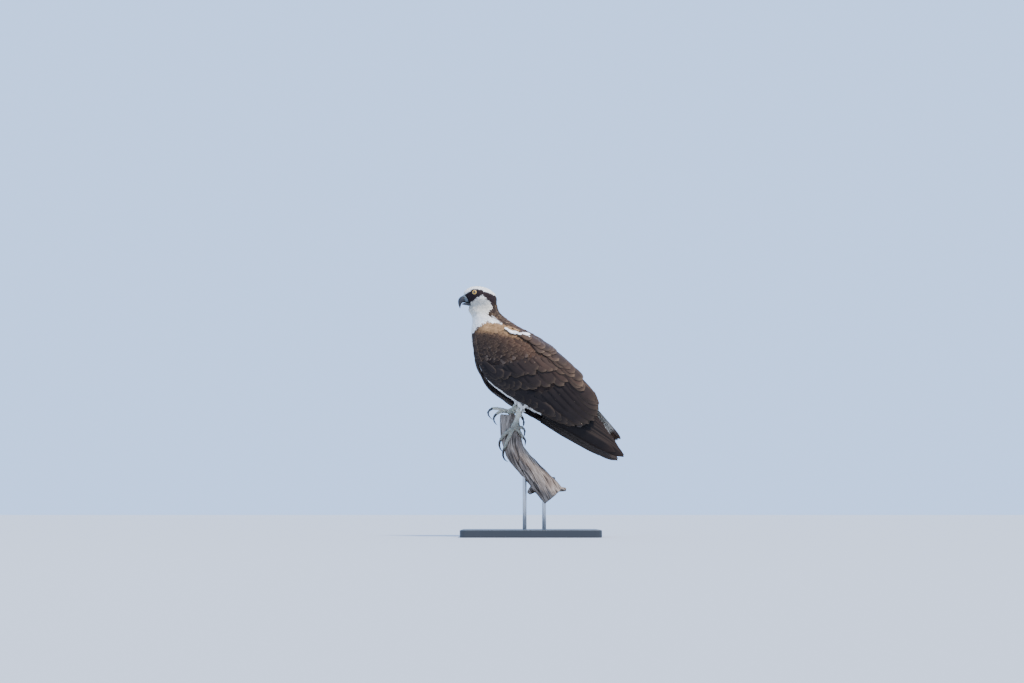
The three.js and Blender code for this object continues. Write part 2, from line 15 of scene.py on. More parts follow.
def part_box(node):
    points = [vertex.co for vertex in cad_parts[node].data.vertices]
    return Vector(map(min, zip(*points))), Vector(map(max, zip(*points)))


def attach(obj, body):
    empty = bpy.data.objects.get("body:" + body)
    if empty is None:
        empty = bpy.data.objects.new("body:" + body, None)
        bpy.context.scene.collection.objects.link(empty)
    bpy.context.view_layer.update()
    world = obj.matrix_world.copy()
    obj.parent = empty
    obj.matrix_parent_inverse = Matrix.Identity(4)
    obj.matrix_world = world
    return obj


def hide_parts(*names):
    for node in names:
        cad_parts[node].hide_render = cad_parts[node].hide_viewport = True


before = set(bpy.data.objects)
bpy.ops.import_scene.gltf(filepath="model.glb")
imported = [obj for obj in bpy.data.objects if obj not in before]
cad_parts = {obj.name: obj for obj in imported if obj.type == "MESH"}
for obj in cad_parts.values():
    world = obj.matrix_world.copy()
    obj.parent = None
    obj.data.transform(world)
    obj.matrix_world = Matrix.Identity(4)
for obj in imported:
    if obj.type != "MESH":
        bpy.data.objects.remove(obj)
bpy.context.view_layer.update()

log = logging.getLogger("osprey")

MM = 0.001
SEED = 20
TINT = "Tint"
VANE_MAP = "Vane"
BAKE_MAP = "OFBake"
BAKE_PATCH = 0.003
HEAD_LOW = 560 * MM  # the head's coat is above this height
FACE_SIDE = 9  # millimetres from the head's middle plane to where its sides start
GRAIN = "Grain"
Array = np.ndarray


class Side(Enum):
    """Which side of the bird a piece is on, as the sign of its Y."""

    LEFT = -1
    RIGHT = 1

    @property
    def word(self) -> str:
        """The side's name as the nodes write it."""
        return self.name.lower()


# Colour and number helpers


def linear(code: str) -> tuple[float, float, float]:
    """Turns an sRGB hex code into linear light.

    Args:
        code: six hex digits, such as "42352d".

    Returns:
        Red, green and blue from 0 to 1.
    """
    parts = [int(code[i : i + 2], 16) / 255 for i in (0, 2, 4)]
    return tuple(p / 12.92 if p <= 0.04045 else ((p + 0.055) / 1.055) ** 2.4 for p in parts)


def ramp(value: Array, low: float, high: float) -> Array:
    """A smooth step from 0 at low to 1 at high.

    Args:
        value: numbers to grade.
        low: where the step starts.
        high: where it ends.

    Returns:
        The graded numbers.
    """
    share = np.clip((value - low) / (high - low), 0, 1)
    return share * share * (3 - 2 * share)


def mix(first: Array, second: Array, share: Array) -> Array:
    """Blends rows of colours or vectors, share 1 being the second."""
    return first * (1 - share[..., None]) + second * share[..., None]


def unit(vectors: Array) -> Array:
    """Rows scaled to length 1."""
    return vectors / np.maximum(np.linalg.norm(vectors, axis=-1, keepdims=True), 1e-9)


def smooth_row(table: Array, place: Array) -> Array:
    """Reads a table at fractional rows on a smooth curve through its rows.

    Args:
        table: one row of numbers for each station.
        place: fractional row numbers.

    Returns:
        One interpolated row for each place.
    """
    last = len(table) - 1
    held = np.clip(place, 0, last)
    start = np.minimum(held.astype(int), last - 1)
    f = (held - start)[..., None]
    a, b, c, d = (table[np.clip(start + k, 0, last)] for k in (-1, 0, 1, 2))
    bend = (2 * a - 5 * b + 4 * c - d) * f + (3 * b - a - 3 * c + d) * f * f
    return b + 0.5 * f * (c - a + bend)


# Materials


class Finish:
    """A node material while it is put together. Each method adds a node and gives its output."""

    def __init__(self, name: str) -> None:
        """Starts an empty material with that name.

        Args:
            name: the material's name.
        """
        self.material = bpy.data.materials.new(name)
        self.material.use_nodes = True
        self.tree = self.material.node_tree
        self.tree.nodes.clear()

    def add(
        self, kind: str, inputs: dict, output: int | str = 0, **settings: object
    ) -> bpy.types.NodeSocket:
        """Adds a shader node with its settings, values and links.

        Args:
            kind: the node's type, as written after "ShaderNode".
            inputs: by socket name or number, a value, or another node's output to link.
            output: the output to give back.
            settings: the node's own properties.

        Returns:
            That output.
        """
        node = self.tree.nodes.new(f"ShaderNode{kind}")
        for name, value in settings.items():
            setattr(node, name, value)
        for name, value in inputs.items():
            if isinstance(value, bpy.types.NodeSocket):
                self.tree.links.new(value, node.inputs[name])
            else:
                node.inputs[name].default_value = value
        return node.outputs[output]

    def tint(self) -> bpy.types.NodeSocket:
        """The piece's own tint."""
        return self.add("Attribute", {}, "Color", attribute_name=TINT)

    def place(self) -> bpy.types.NodeSocket:
        """The Object coordinates."""
        return self.add("TexCoord", {}, "Object")

    def noise(
        self, size_mm: float, detail: float, place: bpy.types.NodeSocket, roughness: float = 0.5
    ) -> bpy.types.NodeSocket:
        """Noise with lumps of a real size."""
        inputs = {"Vector": place, "Scale": 1 / (size_mm * MM), "Detail": detail, "Roughness": roughness}
        return self.add("TexNoise", inputs)

    def math(self, operation: str, *values: object) -> bpy.types.NodeSocket:
        """A sum on one to three values."""
        return self.add("Math", dict(enumerate(values)), operation=operation)

    def spread(
        self, value: bpy.types.NodeSocket, low: float, high: float, start: float = 0.0, end: float = 1.0
    ) -> bpy.types.NodeSocket:
        """A value's run from start to end, spread from low to high."""
        limits = {"From Min": start, "From Max": end, "To Min": low, "To Max": high}
        return self.add("MapRange", {"Value": value, **limits})

    def tones(self, value: bpy.types.NodeSocket, *stops: tuple[float, str]) -> bpy.types.NodeSocket:
        """Colours by a value, from stops of a place from 0 to 1 and a hex colour.

        Args:
            value: the socket that chooses.
            stops: places and hex colours.

        Returns:
            The colour's socket.
        """
        colours = self.add("ValToRGB", {0: value})
        elements = colours.node.color_ramp.elements
        while len(elements) < len(stops):
            elements.new(0.5)
        for element, (place, code) in zip(elements, stops):
            element.position = place
            element.color = (*linear(code), 1)
        return colours

    def blend(self, kind: str, share: object, first: object, second: object) -> bpy.types.NodeSocket:
        """Two colours blended in one of the Mix node's ways."""
        inputs = {0: share, 6: first, 7: second}
        return self.add("Mix", inputs, 2, data_type="RGBA", blend_type=kind)

    def bump(self, height: bpy.types.NodeSocket, strength: float, depth_mm: float) -> bpy.types.NodeSocket:
        """Relief of a real depth, as the shader's normal."""
        return self.add("Bump", {"Strength": strength, "Distance": depth_mm * MM, "Height": height})

    def done(self, colour: object, roughness: object, **more: object) -> bpy.types.Material:
        """Adds the surface shader and gives the finished material.

        Args:
            colour: the base colour.
            roughness: the roughness.
            more: other inputs of the shader, with _ for the spaces in their names.

        Returns:
            The material.
        """
        inputs = {name.replace("_", " "): value for name, value in more.items()}
        shader = self.add("BsdfPrincipled", {"Base Color": colour, "Roughness": roughness, **inputs})
        output = self.tree.nodes.new("ShaderNodeOutputMaterial")
        self.tree.links.new(shader, output.inputs["Surface"])
        return self.material


@dataclass(frozen=True)
class Feathering:
    """Feather vanes: keratin barbs in rows. They scatter light softly, with a dull sheen along the web."""

    name: str = "feather_vanes"
    roughness: float = 0.76
    barb_mm: float = 1.1  # real barbs are 0.3 mm apart, drawn coarser so that they show
    shaft_mm: float = 0.22
    relief: float = 0.35

    def material(self) -> bpy.types.Material:
        """Builds the material, which takes its colour from the piece's own tint.

        Returns:
            The material.
        """
        look = Finish(self.name)
        tint = look.tint()
        web = look.add("SeparateXYZ", {0: look.add("UVMap", {}, uv_map=VANE_MAP)}).node
        out = look.math("ABSOLUTE", web.outputs[0])
        slant = look.math("MULTIPLY_ADD", out, -0.6, web.outputs[1])
        barbs = look.math("SINE", look.math("MULTIPLY", slant, 2 * math.pi / self.barb_mm))
        shaft = look.math("LESS_THAN", out, self.shaft_mm)
        bump = look.bump(look.math("MULTIPLY_ADD", barbs, 0.3, shaft), self.relief, 0.3)
        shade = look.spread(look.noise(22, 5, look.place()), 0.86, 1.1, 0.3, 0.7)
        toned = look.add("VectorMath", {0: tint, "Scale": shade}, operation="SCALE")
        sheen = {"Specular_IOR_Level": 0.14, "Sheen_Weight": 0.05, "Sheen_Roughness": 0.4}
        return look.done(toned, self.roughness, Normal=bump, **sheen)


@dataclass(frozen=True)
class DownSkin:
    """The skin under the vanes, covered in down: matt, soft and finely tufted."""

    name: str = "down_skin"

    def material(self) -> bpy.types.Material:
        """Builds the material, with the tint of the markings above it.

        Returns:
            The material.
        """
        look = Finish(self.name)
        bump = look.bump(look.noise(1.6, 3, look.place()), 0.6, 0.8)
        return look.done(look.tint(), 0.9, Specular_IOR_Level=0.15, Normal=bump)


@dataclass(frozen=True)
class Horn:
    """Beak and claw horn: keratin worn smooth. It is black with a soft gloss and faint growth lines."""

    name: str
    base: str
    worn: str
    roughness: float = 0.38
    grain_mm: float = 2.5

    def material(self) -> bpy.types.Material:
        """Builds the material.

        Returns:
            The material.
        """
        look = Finish(self.name)
        cloud = look.noise(self.grain_mm, 4, look.place())
        tone = look.tones(cloud, (0.35, self.base), (0.75, self.worn))
        rough = look.spread(cloud, self.roughness - 0.06, self.roughness + 0.16)
        bump = look.bump(cloud, 0.12, 0.3)
        return look.done(tone, rough, IOR=1.54, Coat_Weight=0.12, Coat_Roughness=0.2, Normal=bump)


@dataclass(frozen=True)
class ScalySkin:
    """Bare foot skin: rough little scutes with darker creases, pale green-grey."""

    name: str = "scaly_skin"
    scute_mm: float = 1.5
    crease: str = "8f8b7d"
    dusk: str = "b5b2a2"
    pale: str = "cfccbc"

    def material(self) -> bpy.types.Material:
        """Builds the material.

        Returns:
            The material.
        """
        look = Finish(self.name)
        cells = {"Vector": look.place(), "Scale": 1 / (self.scute_mm * MM), "Randomness": 0.8}
        scutes = look.add("TexVoronoi", cells, feature="DISTANCE_TO_EDGE")
        edge = look.spread(scutes, 0, 1, end=0.16)
        tone = look.tones(edge, (0.0, self.crease), (0.35, self.dusk), (1.0, self.pale))
        toned = look.blend("MULTIPLY", 1.0, tone, look.tint())
        bump = look.bump(edge, 0.7, 0.5)
        return look.done(toned, 0.55, Subsurface_Weight=0.06, Subsurface_Scale=1 * MM, Normal=bump)


@dataclass(frozen=True)
class Tinted:
    """Smooth skin or eye tissue coloured by the piece's own tint, under a wet or waxy film."""

    name: str
    roughness: float
    coat: float = 0.0
    relief: float = 0.1

    def material(self) -> bpy.types.Material:
        """Builds the material.

        Returns:
            The material.
        """
        look = Finish(self.name)
        bump = look.bump(look.noise(0.7, 3, look.place()), self.relief, 0.2)
        film = {"Coat_Weight": self.coat, "Coat_Roughness": 0.03}
        return look.done(look.tint(), self.roughness, Normal=bump, **film)


@dataclass(frozen=True)
class DeadWood:
    """Barkless dead wood, silvered by weather: grey, with long dark checks along the grain."""

    name: str = "weathered_wood"
    fibre_mm: float = 2.2
    check_mm: float = 5.5
    check: str = "3a332d"
    greys: tuple[tuple[float, str], ...] = (
        (0.3, "4d453e"), (0.48, "8b8076"), (0.62, "aba096"), (0.75, "c9bfb6"),
    )

    def material(self) -> bpy.types.Material:
        """Builds the material from the piece's grain coordinates and its tint.

        Returns:
            The material.
        """
        look = Finish(self.name)
        grain = look.add("Attribute", {}, "Vector", attribute_name=GRAIN)
        stretch = look.add("Mapping", {"Vector": grain, "Scale": (1.0, 1.0, 0.07)})
        fibres = look.noise(self.fibre_mm, 6, stretch, 0.62)
        crack = look.spread(look.noise(self.check_mm, 2, stretch), 0, 1, 0.34, 0.46)
        tone = look.tones(fibres, *self.greys)
        dark = look.blend("MIX", crack, (*linear(self.check), 1), tone)
        toned = look.blend("MULTIPLY", 1.0, dark, look.tint())
        bump = look.bump(look.math("MULTIPLY_ADD", crack, 1.5, fibres), 0.8, 1.2)
        return look.done(toned, 0.88, Specular_IOR_Level=0.25, Normal=bump)


@dataclass(frozen=True)
class PaintedBoard:
    """Fibreboard sprayed satin black: a fine orange peel that softens its reflections."""

    name: str = "satin_painted_board"
    colour: str = "2b2d30"

    def material(self) -> bpy.types.Material:
        """Builds the material.

        Returns:
            The material.
        """
        look = Finish(self.name)
        place = look.place()
        rough = look.spread(look.noise(60, 5, place), 0.3, 0.52)
        bump = look.bump(look.noise(3, 2, place), 0.08, 0.2)
        return look.done((*linear(self.colour), 1), rough, Normal=bump)


@dataclass(frozen=True)
class BrushedSteel:
    """Stainless rod, brushed round its axis: fine rings that blur the highlights."""

    name: str = "brushed_steel"
    colour: str = "b9bbbd"

    def material(self) -> bpy.types.Material:
        """Builds the material.

        Returns:
            The material.
        """
        look = Finish(self.name)
        stretch = look.add("Mapping", {"Vector": look.place(), "Scale": (0.04, 0.04, 1.0)})
        rough = look.spread(look.noise(0.8, 3, stretch), 0.24, 0.42)
        return look.done((*linear(self.colour), 1), rough, Metallic=1.0)


# Mesh helpers


def new_piece(
    name: str, mesh: bpy.types.Mesh, material: bpy.types.Material, *stands_for: str
) -> bpy.types.Object:
    """Puts a mesh in the scene as a piece that rides on the model's one body.

    Args:
        name: the piece's name.
        mesh: its mesh, in place.
        material: its finish.
        stands_for: the nodes that it replaces.

    Returns:
        The piece.
    """
    piece = bpy.data.objects.new(name, mesh)
    bpy.context.scene.collection.objects.link(piece)
    mesh.materials.clear()
    mesh.materials.append(material)
    mesh.shade_smooth()
    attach(piece, "root")
    if stands_for:
        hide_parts(*stands_for)
    log.info("%s: %d faces", name, len(mesh.polygons))
    return piece


def read(parts: bpy.types.bpy_prop_collection, name: str, width: int = 3) -> Array:
    """One property of many mesh parts, as rows of that width.

    Args:
        parts: the vertices, faces or map corners.
        name: the property's name.
        width: how many numbers it has.

    Returns:
        A row for each part.
    """
    flat = np.empty(len(parts) * width, dtype=np.float32)
    parts.foreach_get(name, flat)
    return flat.reshape(-1, width)


def points_of(mesh: bpy.types.Mesh) -> Array:
    """The mesh's vertices as rows."""
    return read(mesh.vertices, "co").astype(float)


def normals_of(mesh: bpy.types.Mesh) -> Array:
    """The mesh's vertex normals as rows."""
    return read(mesh.vertex_normals, "vector").astype(float)


def move_points(mesh: bpy.types.Mesh, points: Array) -> None:
    """Writes the vertices' places back."""
    mesh.vertices.foreach_set("co", points.astype(np.float32).ravel())
    mesh.update()


def paint(mesh: bpy.types.Mesh, colours: Array) -> None:
    """Stores a row of linear red, green and blue for each vertex as the mesh's tint.

    Args:
        mesh: the mesh.
        colours: a row for each vertex.
    """
    layer = mesh.color_attributes.new(TINT, "FLOAT_COLOR", "POINT")
    full = np.ones((len(colours), 4), dtype=np.float32)
    full[:, :3] = colours
    layer.data.foreach_set("color", full.ravel())


def mesh_of(shape: bmesh.types.BMesh, name: str) -> bpy.types.Mesh:
    """Turns a finished bmesh into a mesh with that name.

    Args:
        shape: the bmesh, which is freed.
        name: the mesh's name.

    Returns:
        The mesh.
    """
    mesh = bpy.data.meshes.new(name)
    shape.to_mesh(mesh)
    shape.free()
    return mesh


def merged_nodes(names: Iterable[str]) -> bpy.types.Mesh:
    """One mesh with welded copies of several nodes.

    Args:
        names: the nodes' names.

    Returns:
        The joined mesh.
    """
    whole = bmesh.new()
    for name in names:
        whole.from_mesh(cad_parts[name].data)
    bmesh.ops.remove_doubles(whole, verts=whole.verts, dist=0.02 * MM)
    return mesh_of(whole, "merged")


def remeshed(mesh: bpy.types.Mesh, voxel: float, smoothing: int) -> bpy.types.Mesh:
    """Rebuilds a closed mesh in even quads and relaxes it.

    Args:
        mesh: the closed mesh.
        voxel: the quads' size in metres.
        smoothing: how many times to relax it.

    Returns:
        The new mesh.
    """
    holder = bpy.data.objects.new("holder", mesh)
    bpy.context.scene.collection.objects.link(holder)
    grid = holder.modifiers.new("grid", "REMESH")
    grid.mode = "VOXEL"
    grid.voxel_size = voxel
    relax = holder.modifiers.new("relax", "SMOOTH")
    relax.factor = 0.5
    relax.iterations = smoothing
    evaluated = holder.evaluated_get(bpy.context.evaluated_depsgraph_get())
    result = bpy.data.meshes.new_from_object(evaluated)
    bpy.data.objects.remove(holder)
    return result


# The bird's own coordinates


@dataclass(frozen=True)
class HeadFrame:
    """The head as if it looked straight ahead: it turns about an upright line through the neck."""

    pivot: tuple[float, float] = (-112 * MM, 0.0)
    turn: float = math.radians(12)

    def turned(self, points: Array, angle: float) -> Array:
        """Rows turned about the pivot by an angle.

        Args:
            points: rows of three.
            angle: the turn, in radians.

        Returns:
            The turned rows.
        """
        x, y = points[..., 0] - self.pivot[0], points[..., 1] - self.pivot[1]
        cos, sin = math.cos(angle), math.sin(angle)
        return np.stack(
            [self.pivot[0] + x * cos - y * sin, self.pivot[1] + x * sin + y * cos, points[..., 2]], -1
        )

    def straight(self, points: Array) -> Array:
        """Places on the model as places on a head that looks straight ahead."""
        return self.turned(points, -self.turn)

    def placed(self, points: Array) -> Array:
        """Places on a head that looks straight ahead as places on the model."""
        return self.turned(points, self.turn)


@dataclass(frozen=True)
class WingPlan:
    """The folded wings' outer face, in millimetres along and over the line from bend to tip.

    It is the same formula that shapes the wing nodes.
    """

    at: tuple[float, float] = (-140.0, 484.0)
    slope: float = math.radians(38.2)
    up_reach: float = 93.0
    down_reach: float = 94.0
    power: float = 2.4
    right_drop: float = 12.0
    bulge: tuple[tuple[float, float, float], ...] = (
        (-20, 40, 4), (10, 60, 6), (50, 76, 10), (110, 85, 15), (180, 86, 20), (240, 81, 24),
        (300, 70, 25), (350, 59, 20), (400, 51, 10), (440, 46, 4), (490, 42, 0),
    )
    low_edge: tuple[tuple[float, ...], ...] = (
        (-12, 31, 60, 91, 185, 256, 328, 350),
        (4, -31, -47, -60, -53, -41, -22, 0),
    )
    high_edge: tuple[tuple[float, ...], ...] = (
        (-14, 0, 27, 58, 95, 134, 174, 249, 306, 343),
        (20, 51, 69, 84, 95, 101, 101, 90, 86, 69),
    )

    def across(self, x: Array, z: Array) -> tuple[Array, Array]:
        """Side-view millimetres as places along and over the wing's line.

        Args:
            x: millimetres along X.
            z: millimetres up.

        Returns:
            Millimetres along and over the line.
        """
        right, rise = x - self.at[0], z - self.at[1]
        cos, sin = math.cos(self.slope), math.sin(self.slope)
        return right * cos - rise * sin, right * sin + rise * cos

    def upright(self, along: Array, over: Array) -> tuple[Array, Array]:
        """Places along and over the wing's line as side-view millimetres."""
        cos, sin = math.cos(self.slope), math.sin(self.slope)
        return self.at[0] + along * cos + over * sin, self.at[1] - along * sin + over * cos

    def half_width(self, along: Array, over: Array) -> Array:
        """How far the face stands from the middle plane.

        Args:
            along: millimetres along the wing's line.
            over: millimetres over it.

        Returns:
            Millimetres.
        """
        table = np.array(self.bulge, dtype=float)
        place = np.interp(along, table[:, 0], np.arange(len(table)))
        _, half, widest = np.moveaxis(smooth_row(table, place), -1, 0)
        off = (over - widest) / np.where(over > widest, self.up_reach, self.down_reach)
        return half * (1 - np.minimum(np.abs(off), 0.97) ** self.power) ** (1 / self.power)

    def on_face(self, side: Side, along: Array, over: Array, height: Array) -> Array:
        """Points over the wing's outer face.

        Args:
            side: which wing.
            along: millimetres along the wing's line.
            over: millimetres over that line.
            height: millimetres that the point stands off the face.

        Returns:
            Points in metres.
        """
        step = 2.0
        half = self.half_width
        tilt_along = (half(along + step, over) - half(along - step, over)) / (2 * step)
        tilt_over = (half(along, over + step) - half(along, over - step)) / (2 * step)
        size = np.sqrt(1 + tilt_along**2 + tilt_over**2)
        out_along = along - tilt_along / size * height
        out_over = over - tilt_over / size * height
        x, z = self.upright(out_along, out_over)
        y = side.value * (half(along, over) + height / size)
        drop = self.right_drop if side is Side.RIGHT else 0.0
        return np.stack([x, y, z - drop], -1) * MM

    def nearness(self, points: Array) -> tuple[Array, Array, Array]:
        """How surely points lie on a folded wing, with their places along and over its line.

        Args:
            points: places on the model, in metres.

        Returns:
            Shares from 0 to 1, and millimetres along and over the line.
        """
        x, y, z = (points / MM).T
        z = z + np.where(y > 0, self.right_drop, 0)
        along, over = self.across(x, z)
        low = np.interp(along, *self.low_edge)
        high = np.interp(along, *self.high_edge)
        inside = ramp(over, low - 5, low + 1) * (1 - ramp(over, high - 2, high + 3))
        outer = ramp(np.abs(y) / self.half_width(along, over), 0.78, 0.86)
        return inside * outer * ramp(-along, -358, -350), along, over


HEAD = HeadFrame()
WING = WingPlan()


class Palette:
    """The plumage's colours in linear light."""

    # tan is a painted highlight colour, for the shoulder's sunlit coverts
    white, cream, brown, umber, dusk, tan, buff, mask, slate, underwing = (
        np.array(linear(code))
        for code in (
            "f3f0ea", "cfc7b6", "513a2c", "35271f", "211a18",
            "a9845c", "ad9070", "251a1d", "3a3a40", "75685f",
        )
    )


def scatter_noise(points: Array, scale: float, seed: float) -> Array:
    """Smooth noise from -1 to 1 at each point, by adding a few turned waves.

    Args:
        points: rows in metres.
        scale: the noise's size in metres.
        seed: shifts the pattern.

    Returns:
        One value for each point.
    """
    x, y, z = (points / scale).T
    waves = (
        np.sin(2.1 * x + 3.7 * y - 1.3 * z + seed)
        + np.sin(-3.3 * x + 1.9 * y + 2.6 * z + 1.7 * seed)
        + np.sin(1.7 * x - 2.9 * y + 3.9 * z + 2.3 * seed)
        + np.sin(4.3 * x + 2.3 * y + 1.1 * z + 3.1 * seed)
    )
    return waves / 2.6


class Markings:
    """Where the plumage is white, brown or dark, on the skin and the feathers alike."""

    mask_x = (-168, -155, -148, -140, -132, -125, -115, -105, -100, -92, -80)
    mask_top = (599, 606, 611, 613.5, 612, 611, 607, 603, 601, 598.5, 597)
    mask_low = (575, 577, 581, 587, 593.5, 597, 588, 581, 571, 562, 548)
    nape_z = (470, 500, 520, 531, 537, 541, 549, 556, 566, 585, 598)
    nape_x = (-30, -60, -78, -84, -98, -110, -112, -104, -99, -92, -84)

    def head(self, points: Array) -> Array:
        """Colours on the head and neck, with painted shade greying the throat and darkening the cheek.

        Args:
            points: places on the model.

        Returns:
            A colour for each.
        """
        x, _, z = (HEAD.straight(points) / MM).T
        ragged = 1.6 * scatter_noise(points, 5 * MM, 1.0)
        top = np.interp(x, self.mask_x, self.mask_top) + ragged
        low = np.interp(x, self.mask_x, self.mask_low) + ragged
        masked = ramp(z, low - 1.5, low + 1.5) * (1 - ramp(z, top - 1.5, top + 1.5))
        # painted shade: the lower head and throat are greyed towards cream
        throat_shade = ramp(600 - z, 0, 22) * (1 - 0.6 * ramp(556 - z, 0, 18))
        white = mix(Palette.white, Palette.cream, 0.85 * throat_shade)
        streaks = ramp(scatter_noise(points * [0.35, 1, 1], 3.2 * MM, 4.0), 0.45, 0.9)
        streaks = streaks * ramp(z, 606, 614) * ramp(x, -165, -150)
        crown = mix(white, Palette.umber, 0.55 * streaks)
        # painted shade: the cheek below the eye is darkened
        cheek_shade = ramp(z, 556, 568) * ramp(-x, 100, 112)
        shaded = crown * (1 - 0.22 * cheek_shade * ramp(596 - z, 0, 12))[:, None]
        return mix(shaded, Palette.mask, masked)

    def nape(self, points: Array) -> Array:
        """How brown the back of the neck and the mantle are, from 0 to 1.

        Args:
            points: places on the model.

        Returns:
            A share for each.
        """
        x, y, z = (points / MM).T
        edge = np.interp(z, self.nape_z, self.nape_x) + 3.5 * scatter_noise(points, 9 * MM, 2.0)
        spread = ramp(np.abs(y), 0, 40) * 8
        return ramp(x, edge + spread - 4, edge + spread + 4) * (1 - ramp(z, 597, 601))

    def trunk(self, points: Array) -> Array:
        """Colours on the trunk: white below, dark brown on the back.

        Args:
            points: places on the model.

        Returns:
            A colour for each.
        """
        along, over = WING.across(*(points[:, [0, 2]] / MM).T)
        edge = np.interp(along, [0, 250, 320, 350], [52, 50, 32, 20])
        back = ramp(over, edge, edge + 14) * ramp(along, 10, 60)
        back = np.maximum(back, self.nape(points) * ramp(over, 40, 60))
        white = mix(Palette.white, Palette.cream, 0.35 * ramp(along, 60, 200))
        brown = mix(Palette.umber, Palette.brown, 0.5 + 0.5 * scatter_noise(points, 26 * MM, 3.0))
        return mix(white, brown, back)

    def wing(self, along: Array, over: Array, points: Array) -> Array:
        """Colours of the wing's coverts, with a painted sunlit highlight on the shoulder.

        Args:
            along: millimetres along the wing's line.
            over: millimetres over it.
            points: the same places on the model, for the mottling.

        Returns:
            A colour for each.
        """
        uneven = 0.35 * scatter_noise(points, 18 * MM, 5.0)
        upper = ramp(over + 30 * uneven, -20, 50)
        colour = mix(Palette.dusk, Palette.umber, upper)
        warm = ramp(over, 25, 75) * (0.7 + uneven)
        colour = mix(colour, Palette.brown, np.clip(warm, 0, 1))
        # painted highlight: a sunlit tan band over the shoulder's coverts
        band_low = np.interp(along, [-10, 20, 60, 100, 160], [18, 38, 60, 74, 88])
        sunlit_band = ramp(over, band_low - 14, band_low + 12) * (1 - ramp(along, 70, 115)) * ramp(along, -12, 4)
        return mix(colour, Palette.tan, np.clip(0.75 * sunlit_band + 0.5 * uneven * sunlit_band, 0, 1))

    def tint(self, points: Array, normals: Array) -> Array:
        """Colours anywhere on the flesh.

        Args:
            points: places on the model.
            normals: the flesh's outward directions there.

        Returns:
            A colour for each.
        """
        x, y, z = (points / MM).T
        on_wing, along, over = WING.nearness(points)
        body = self.trunk(points)
        head = mix(self.head(points), 0.8 * Palette.umber, self.nape(points))
        head_share = ramp(z, 528, 545) * ramp(-x, 20, 45)
        colour = mix(body, head, head_share)
        inner = 0.2 * ramp(-normals[:, 1] * np.sign(y), 0.3, 0.7)
        wing = mix(self.wing(along, over, points), Palette.underwing, inner)
        return mix(colour, wing, on_wing)


class Flow:
    """Which way the feathers lie, and how long and dense they are."""

    bill_root = np.array([-168.0, 0.0, 592.0]) * MM
    body_way = np.array([0.70, 0.0, -0.71])

    def way(self, points: Array, normals: Array) -> Array:
        """The lie of the coat.

        Args:
            points: places on the flesh.
            normals: the flesh's outward directions there.

        Returns:
            A unit direction in the surface for each.
        """
        straight = HEAD.straight(points)
        away = unit(straight - self.bill_root)
        x, z = straight[:, 0] / MM, straight[:, 2] / MM
        low_head = ramp(-z, -592, -560)[:, None]
        away = unit(away + low_head * np.array([0.1, 0, -0.9]))
        behind = ramp(x, -118, -92)[:, None]
        away = unit(away + behind * np.array([0.0, 0, -1.3]))
        pivot = [HEAD.pivot[0], HEAD.pivot[1], 0]
        away = HEAD.placed(away + pivot) - pivot
        head = ramp(points[:, 2] / MM, 545, 568)
        wing_way = np.array([math.cos(WING.slope), 0, -math.sin(WING.slope)])
        on_wing, _, _ = WING.nearness(points)
        body = mix(self.body_way, wing_way, on_wing)
        leg = (points[:, 2] / MM < 345) & (points[:, 0] / MM < 5) & (on_wing < 0.5)
        body = np.where(leg[:, None], np.array([0.25, 0, -0.97]), body)
        whole = mix(body, away, head)
        flat = whole - normals * np.sum(whole * normals, axis=1, keepdims=True)
        return unit(flat)

    def size(self, points: Array) -> tuple[Array, Array]:
        """Feather length and spacing in metres at each point.

        Args:
            points: places on the flesh.

        Returns:
            Lengths and spacings.
        """
        straight = HEAD.straight(points) / MM
        from_bill = np.linalg.norm(straight - self.bill_root / MM, axis=1)
        length = np.interp(from_bill, [8, 25, 60, 95, 130, 200], [3.2, 4.8, 9, 14, 20, 26])
        along, over = WING.across(*(points[:, [0, 2]] / MM).T)
        on_wing, _, _ = WING.nearness(points)
        back = ramp(over, 50, 80) * ramp(along, 30, 90)
        length = length * (1 - back) + back * np.interp(along, [30, 120, 260], [22, 36, 40])
        lesser = np.interp(along, [-10, 60, 140], [9, 20, 28])
        length = length * (1 - on_wing) + on_wing * lesser
        belly = ramp(-over, 20, 50) * (1 - on_wing)
        length = length * (1 - belly) + belly * 24
        spacing = np.clip(self.closeness(points) * length, 1.35, 11)
        return length * MM, spacing * MM

    @staticmethod
    def closeness(points: Array) -> Array:
        """The spacing's share of the feathers' length: least on the head, where they are slim."""
        return 0.33 - 0.07 * ramp(points[:, 2] / MM, 530, 575)


MARKINGS = Markings()
FLOW = Flow()


# Feathers


@dataclass
class Vane:
    """The mesh of one feather: a grid of rows along the shaft and columns across the web."""

    rows: int = 6
    columns: int = 3
    tip_round: float = 0.02  # how far the middle of the tip runs ahead of its corners
    width_places: tuple[float, ...] = (0.0, 0.36, 0.64, 0.84, 0.96, 1.0)
    width_shares: tuple[float, ...] = (0.5, 0.93, 1.0, 0.88, 0.52, 0.12)

    def grid(self) -> tuple[Array, Array, Array]:
        """Shares along and across, and the web's half width, for each vertex of the grid.

        Returns:
            Shares along, shares across from -1 to 1, and half widths as shares of the widest.
        """
        even = np.linspace(0, 1, self.rows)
        along = 1 - (1 - even) ** 2
        across = np.linspace(-1, 1, self.columns)
        f, c = np.meshgrid(along, across, indexing="ij")
        half = np.interp(f, self.width_places, self.width_shares)
        f = f - self.tip_round * np.abs(c) ** 2 * f**6
        return f.ravel(), c.ravel(), half.ravel()

    def quads(self) -> Array:
        """The grid's faces as rows of four vertex numbers.

        Returns:
            The faces.
        """
        r, c = np.meshgrid(np.arange(self.rows - 1), np.arange(self.columns - 1), indexing="ij")
        first = (r * self.columns + c).ravel()
        return np.stack([first, first + 1, first + self.columns + 1, first + self.columns], -1)


